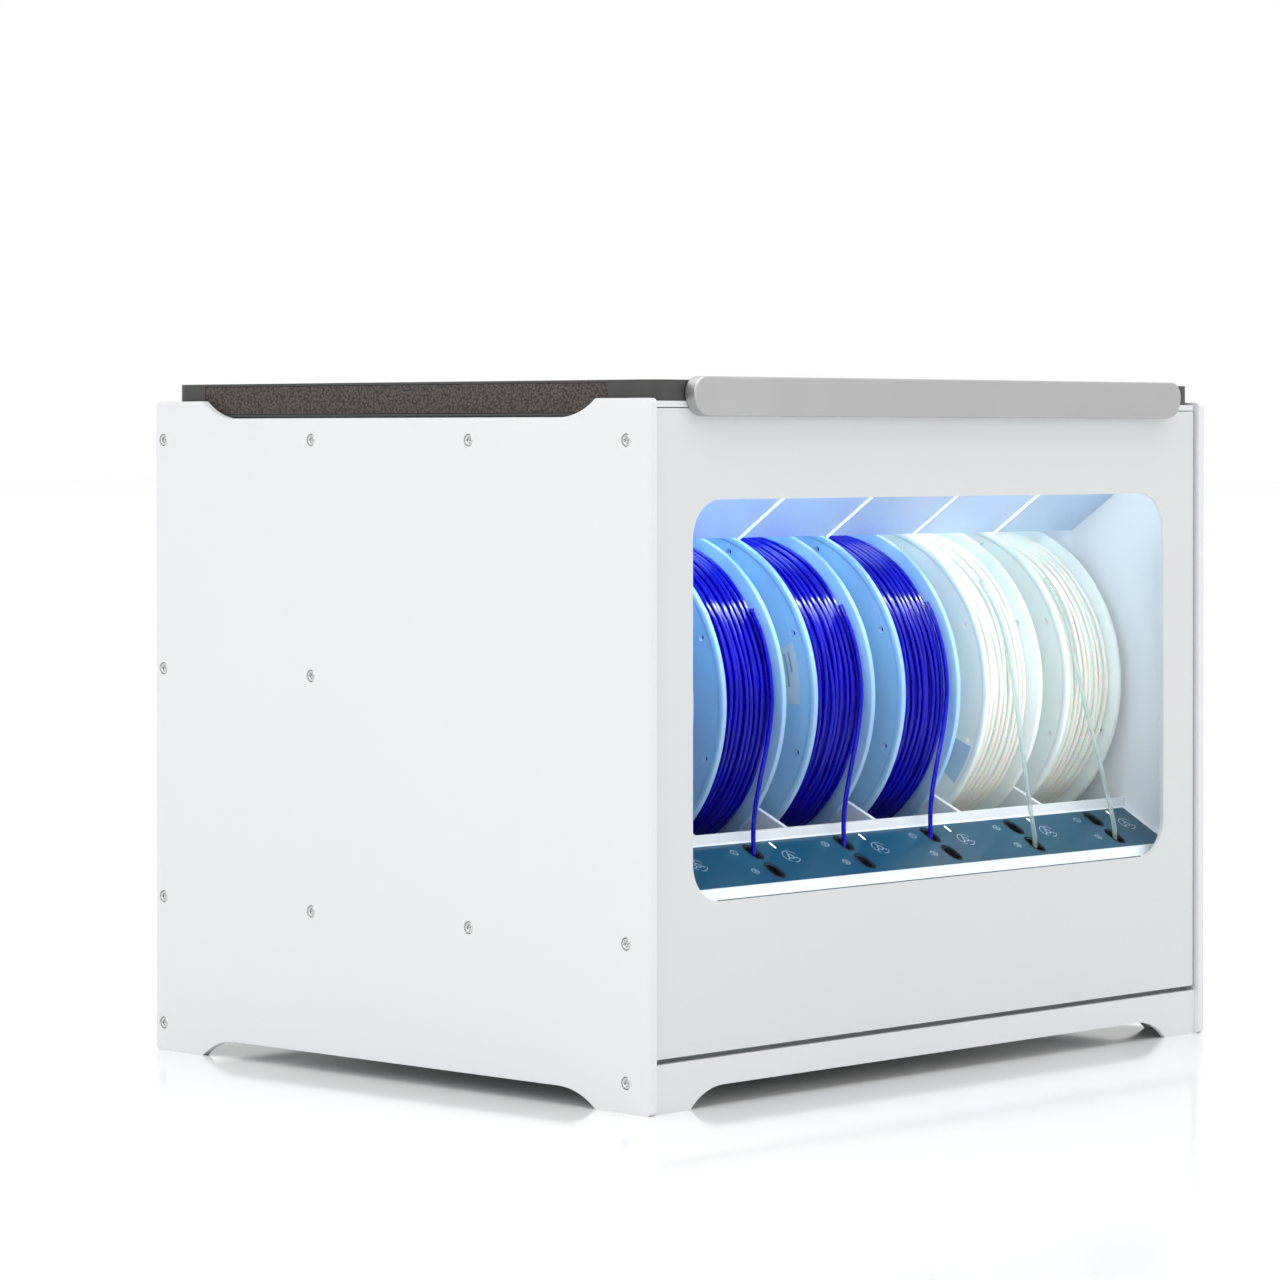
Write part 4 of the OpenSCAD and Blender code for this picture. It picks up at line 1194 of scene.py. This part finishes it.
@dataclass
class SpoolLabel(SubAssembly):
    """A plain sticker with printed bars on a spool's outer face."""

    bay: int = 3
    inner_r: float = 58.0 * MM
    outer_r: float = 88.0 * MM
    start: float = math.radians(158.0)
    sweep: float = math.radians(24.0)
    bars: int = 7
    paper: Finish = LABEL_PAPER

    def build(self) -> None:
        """Lays the sticker on the flange and prints its bars."""
        low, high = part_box(f"spool_{self.bay}")
        face_x, centre = low.x + 0.9 * MM, (low + high) / 2
        paper = self._patch(centre, face_x - 0.12 * MM, self.inner_r, self.outer_r, self.start, self.sweep)
        self.add(new_piece(f"spool_{self.bay}_label", mesh_of("label", *paper)), self.paper)
        if not self.bars:
            return
        points: list[Vector] = []
        faces: list[tuple[int, ...]] = []
        for k in range(self.bars):
            near = self.inner_r + (4 + 3.4 * k) * MM
            length = self.sweep * (0.35 + 0.12 * (k % 3))
            start = self.start + self.sweep * 0.12
            bar = self._patch(centre, face_x - 0.2 * MM, near, near + 1.5 * MM, start, length)
            faces.extend(tuple(len(points) + i for i in f) for f in bar[1])
            points.extend(bar[0])
        self.add(new_piece(f"spool_{self.bay}_label_bars", mesh_of("label_bars", points, faces)), LABEL_INK)

    @staticmethod
    def _patch(
        centre: Vector, x: float, inner: float, outer: float, start: float, sweep: float
    ) -> tuple[list[Vector], list[tuple[int, ...]]]:
        """A thin patch of a ring, lying across the X axis.

        Args:
            centre: The ring's middle.
            x: The patch's outer face.
            inner: The smaller radius.
            outer: The larger radius.
            start: Where it begins, counted from +Y towards +Z.
            sweep: How far it goes round.

        Returns:
            Its points and faces.
        """
        steps, points = 8, []
        for depth in (0.0, 0.06 * MM):
            for k in range(steps + 1):
                a = start + sweep * k / steps
                for r in (inner, outer):
                    spot = (x + depth, centre.y + r * math.cos(a), centre.z + r * math.sin(a))
                    points.append(Vector(spot))
        back = 2 * (steps + 1)
        faces = []
        for k in range(steps):
            a, b = 2 * k, 2 * k + 2
            faces += [(a, b, b + 1, a + 1), (back + a, back + a + 1, back + b + 1, back + b)]
            faces += [(a, back + a, back + b, b), (a + 1, b + 1, back + b + 1, back + a + 1)]
        faces += [(0, 1, back + 1, back), (back - 2, 2 * back - 2, 2 * back - 1, back - 1)]
        return points, faces


@dataclass
class Rollers(SubAssembly):
    """The rods, and the pair of rollers under each spool."""

    def build(self) -> None:
        """Dresses the rods and every roller."""
        self.dress(SCREW_ZINC, "roller_rods", "hinge_pins")
        for bay in range(1, SIZES.bays + 1):
            self.dress(ROLLER_RUBBER, f"front_roller_{bay}", f"rear_roller_{bay}")


@dataclass
class FeedWorks(SubAssembly):
    """The feeder under the tray, its shaft and motor, and the tubes to the outlets."""

    def build(self) -> None:
        """Dresses the feeder's parts."""
        self.dress(BLACK_MOULDING, "feeder_block", "outlet_manifold")
        self.dress(SCREW_ZINC, "feed_shaft")
        self.dress(MOTOR_PAINT, "feed_motor")
        self.dress(TUBE_PLASTIC, "guide_tubes")


@dataclass
class Dryer(SubAssembly):
    """The heater duct, fan, power supply, board and inlet behind the bays."""

    def build(self) -> None:
        """Dresses the dryer and the electrics."""
        self.dress(DUCT_MOULDING, "dryer_housing")
        self.dress(BLACK_MOULDING, "dryer_fan", "power_inlet")
        self.dress(PLATED_SHEET, "power_supply")
        self.dress(BOARD_MASK, "main_board")


# ---------------------------------------------------------------- studio


BLUE_LIGHT: Colour = (0.45, 0.70, 1.0)
COOL_LIGHT: Colour = (0.84, 0.94, 1.0)


@dataclass(frozen=True)
class Lamp:
    """One soft area light."""

    name: str
    place: Point
    target: Point
    size: tuple[float, float]
    power: float
    colour: Colour = (1.0, 1.0, 1.0)
    mirrored: bool = True
    gloss_only: bool = False

    def hang(self) -> None:
        """Adds the light to the scene."""
        data = bpy.data.lights.new(self.name, "AREA")
        data.shape, data.size, data.size_y = "RECTANGLE", *self.size
        data.energy, data.color = self.power, self.colour
        lamp = bpy.data.objects.new(self.name, data)
        lamp.location = self.place
        lamp.rotation_euler = (Vector(self.target) - Vector(self.place)).to_track_quat("-Z", "Y").to_euler()
        lamp.visible_camera, lamp.visible_glossy = False, self.mirrored
        lamp.visible_diffuse = lamp.visible_transmission = not self.gloss_only
        bpy.context.scene.collection.objects.link(lamp)


@dataclass
class Studio:
    """A white floor and backdrop, soft lights, the box's own bay light and the camera."""

    eye: Point = (-2.0972, -1.95725, 0.3706)
    heading: float = 46.361
    pitch: float = 0.608
    lens: float = 131.46
    shift_y: float = -0.1191
    sky: float = 0.45
    sun: float = 2.15
    lamps: tuple[Lamp, ...] = (
        Lamp("key_left", (-2.4, -0.5, 1.5), (-0.25, -0.1, 0.25), (1.2, 1.2), 13.0, (0.97, 0.98, 1.0)),
        Lamp("front_fill", (0.6, -2.6, 1.5), (0.0, -0.1, 0.2), (2.0, 1.4), 11.0),
        Lamp(
            "bay_front_left", (-0.12, -0.184, 0.360), (-0.12, -0.10, 0.20),
            (0.22, 0.012), 0.15, BLUE_LIGHT,
        ),
        Lamp(
            "bay_front_right", (0.12, -0.184, 0.360), (0.12, -0.10, 0.20),
            (0.20, 0.012), 0.07, COOL_LIGHT,
        ),
        Lamp(
            "bay_ceiling_left", (-0.12, -0.085, 0.352), (-0.12, -0.07, 0.0),
            (0.22, 0.02), 0.09, BLUE_LIGHT,
        ),
        Lamp(
            "bay_ceiling_right", (0.10, -0.085, 0.352), (0.10, -0.07, 0.0),
            (0.18, 0.02), 0.05, COOL_LIGHT,
        ),
        Lamp(
            "bay_fill_left", (-0.11, -0.187, 0.29), (-0.11, 0.0, 0.27),
            (0.20, 0.09), 0.055, BLUE_LIGHT, False,
        ),
        Lamp(
            "bay_fill_right", (0.11, -0.187, 0.24), (0.11, 0.0, 0.22),
            (0.18, 0.16), 0.062, (0.90, 0.96, 1.0), False,
        ),
        Lamp(
            "bay_gleam", (0.0, -0.184, 0.357), (0.0, -0.12, 0.27),
            (0.42, 0.010), 2.0, (0.92, 0.96, 1.0), gloss_only=True,
        ),
        Lamp(
            "bay_low_left", (-0.11, -0.125, 0.122), (-0.11, -0.05, 0.20),
            (0.20, 0.012), 0.018, (0.10, 0.42, 1.0), False,
        ),
        Lamp(
            "sill_glow", (0.0, -0.1942, 0.1155), (0.0, 0.0, 0.1155),
            (0.42, 0.004), 0.0055, (0.9, 0.96, 1.0), False,
        ),
    )

    def build(self) -> None:
        """Sets up the floor, the world, the lights and the camera."""
        self._floor()
        self._world()
        for lamp in self.lamps:
            lamp.hang()
        self._daylight()
        self._camera()

    def _daylight(self) -> None:
        """Hangs one wide, even light far above, so that the floor is lit alike all over."""
        data = bpy.data.lights.new("daylight", "SUN")
        data.energy, data.angle = self.sun, math.radians(80.0)
        bpy.context.scene.collection.objects.link(bpy.data.objects.new("daylight", data))

    def _floor(self) -> None:
        """Lays a plain pale floor under the box."""
        mesh = bpy.data.meshes.new("floor")
        mesh.from_pydata([(-30, -30, 0), (30, -30, 0), (30, 30, 0), (-30, 30, 0)], [], [(0, 1, 2, 3)])
        floor = new_piece("floor", mesh)
        paint = Finish(
            "floor_white", "", (0.93, 0.93, 0.93), (0.93, 0.93, 0.93), 1.0,
            grain_depth=0.0, rough=(0.10, 0.10), specular=0.25,
        )
        mesh.materials.append(paint.material())

    def _world(self) -> None:
        """Surrounds the scene with plain white that shines less than it shows."""
        world = bpy.data.worlds.new("studio")
        world.use_nodes = True
        nodes, links = world.node_tree.nodes, world.node_tree.links
        path = nodes.new("ShaderNodeLightPath")
        either = nodes.new("ShaderNodeMath")
        either.operation = "MAXIMUM"
        links.new(path.outputs["Is Camera Ray"], either.inputs[0])
        links.new(path.outputs["Is Glossy Ray"], either.inputs[1])
        seen = either.outputs["Value"]
        strength = nodes.new("ShaderNodeMapRange")
        strength.inputs["To Min"].default_value, strength.inputs["To Max"].default_value = self.sky, 1.0
        links.new(seen, strength.inputs["Value"])
        links.new(strength.outputs["Result"], nodes["Background"].inputs["Strength"])
        nodes["Background"].inputs["Color"].default_value = (1.0, 1.0, 1.0, 1.0)
        bpy.context.scene.world = world
        bpy.context.scene.view_settings.view_transform = "Standard"

    def _camera(self) -> None:
        """Places the camera."""
        data = bpy.data.cameras.new("camera")
        data.lens, data.sensor_width, data.shift_y = self.lens, 36.0, self.shift_y
        data.clip_start, data.clip_end = 0.05, 100.0
        camera = bpy.data.objects.new("camera", data)
        camera.location = self.eye
        camera.rotation_euler = (math.radians(90.0 - self.pitch), 0.0, math.radians(-self.heading))
        bpy.context.scene.collection.objects.link(camera)
        bpy.context.scene.camera = camera


def main() -> None:
    """Builds every sub-assembly and the studio, and logs how many pieces were made."""
    logging.basicConfig(level=logging.INFO, format="%(name)s %(message)s")
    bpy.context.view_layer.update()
    assemblies: list[SubAssembly] = [
        Cabinet("case"), Cover("case"), Door("door"), FeedTray("case"), Rollers("case"),
        FeedWorks("case"), Dryer("case"), FeedStrands("case"), SpoolLabel("loaded_spool_3"),
        SpoolLabel(
            "loaded_spool_5", bay=5, inner_r=78 * MM, outer_r=94 * MM, start=math.radians(202.0),
            sweep=math.radians(16.0), bars=0, paper=LABEL_FILM,
        ),
    ]
    for assembly in assemblies:
        assembly.build()
    layers = winding_tree()
    for bay in range(1, SIZES.bays + 1):
        spool = LoadedSpool(f"loaded_spool_{bay}", bay=bay, layer_seed=bay * 7.3)
        spool.build(layers)
        assemblies.append(spool)
    Studio().build()
    log.info("%d pieces", sum(len(a.made) for a in assemblies))


if __name__ == "__main__":
    main()
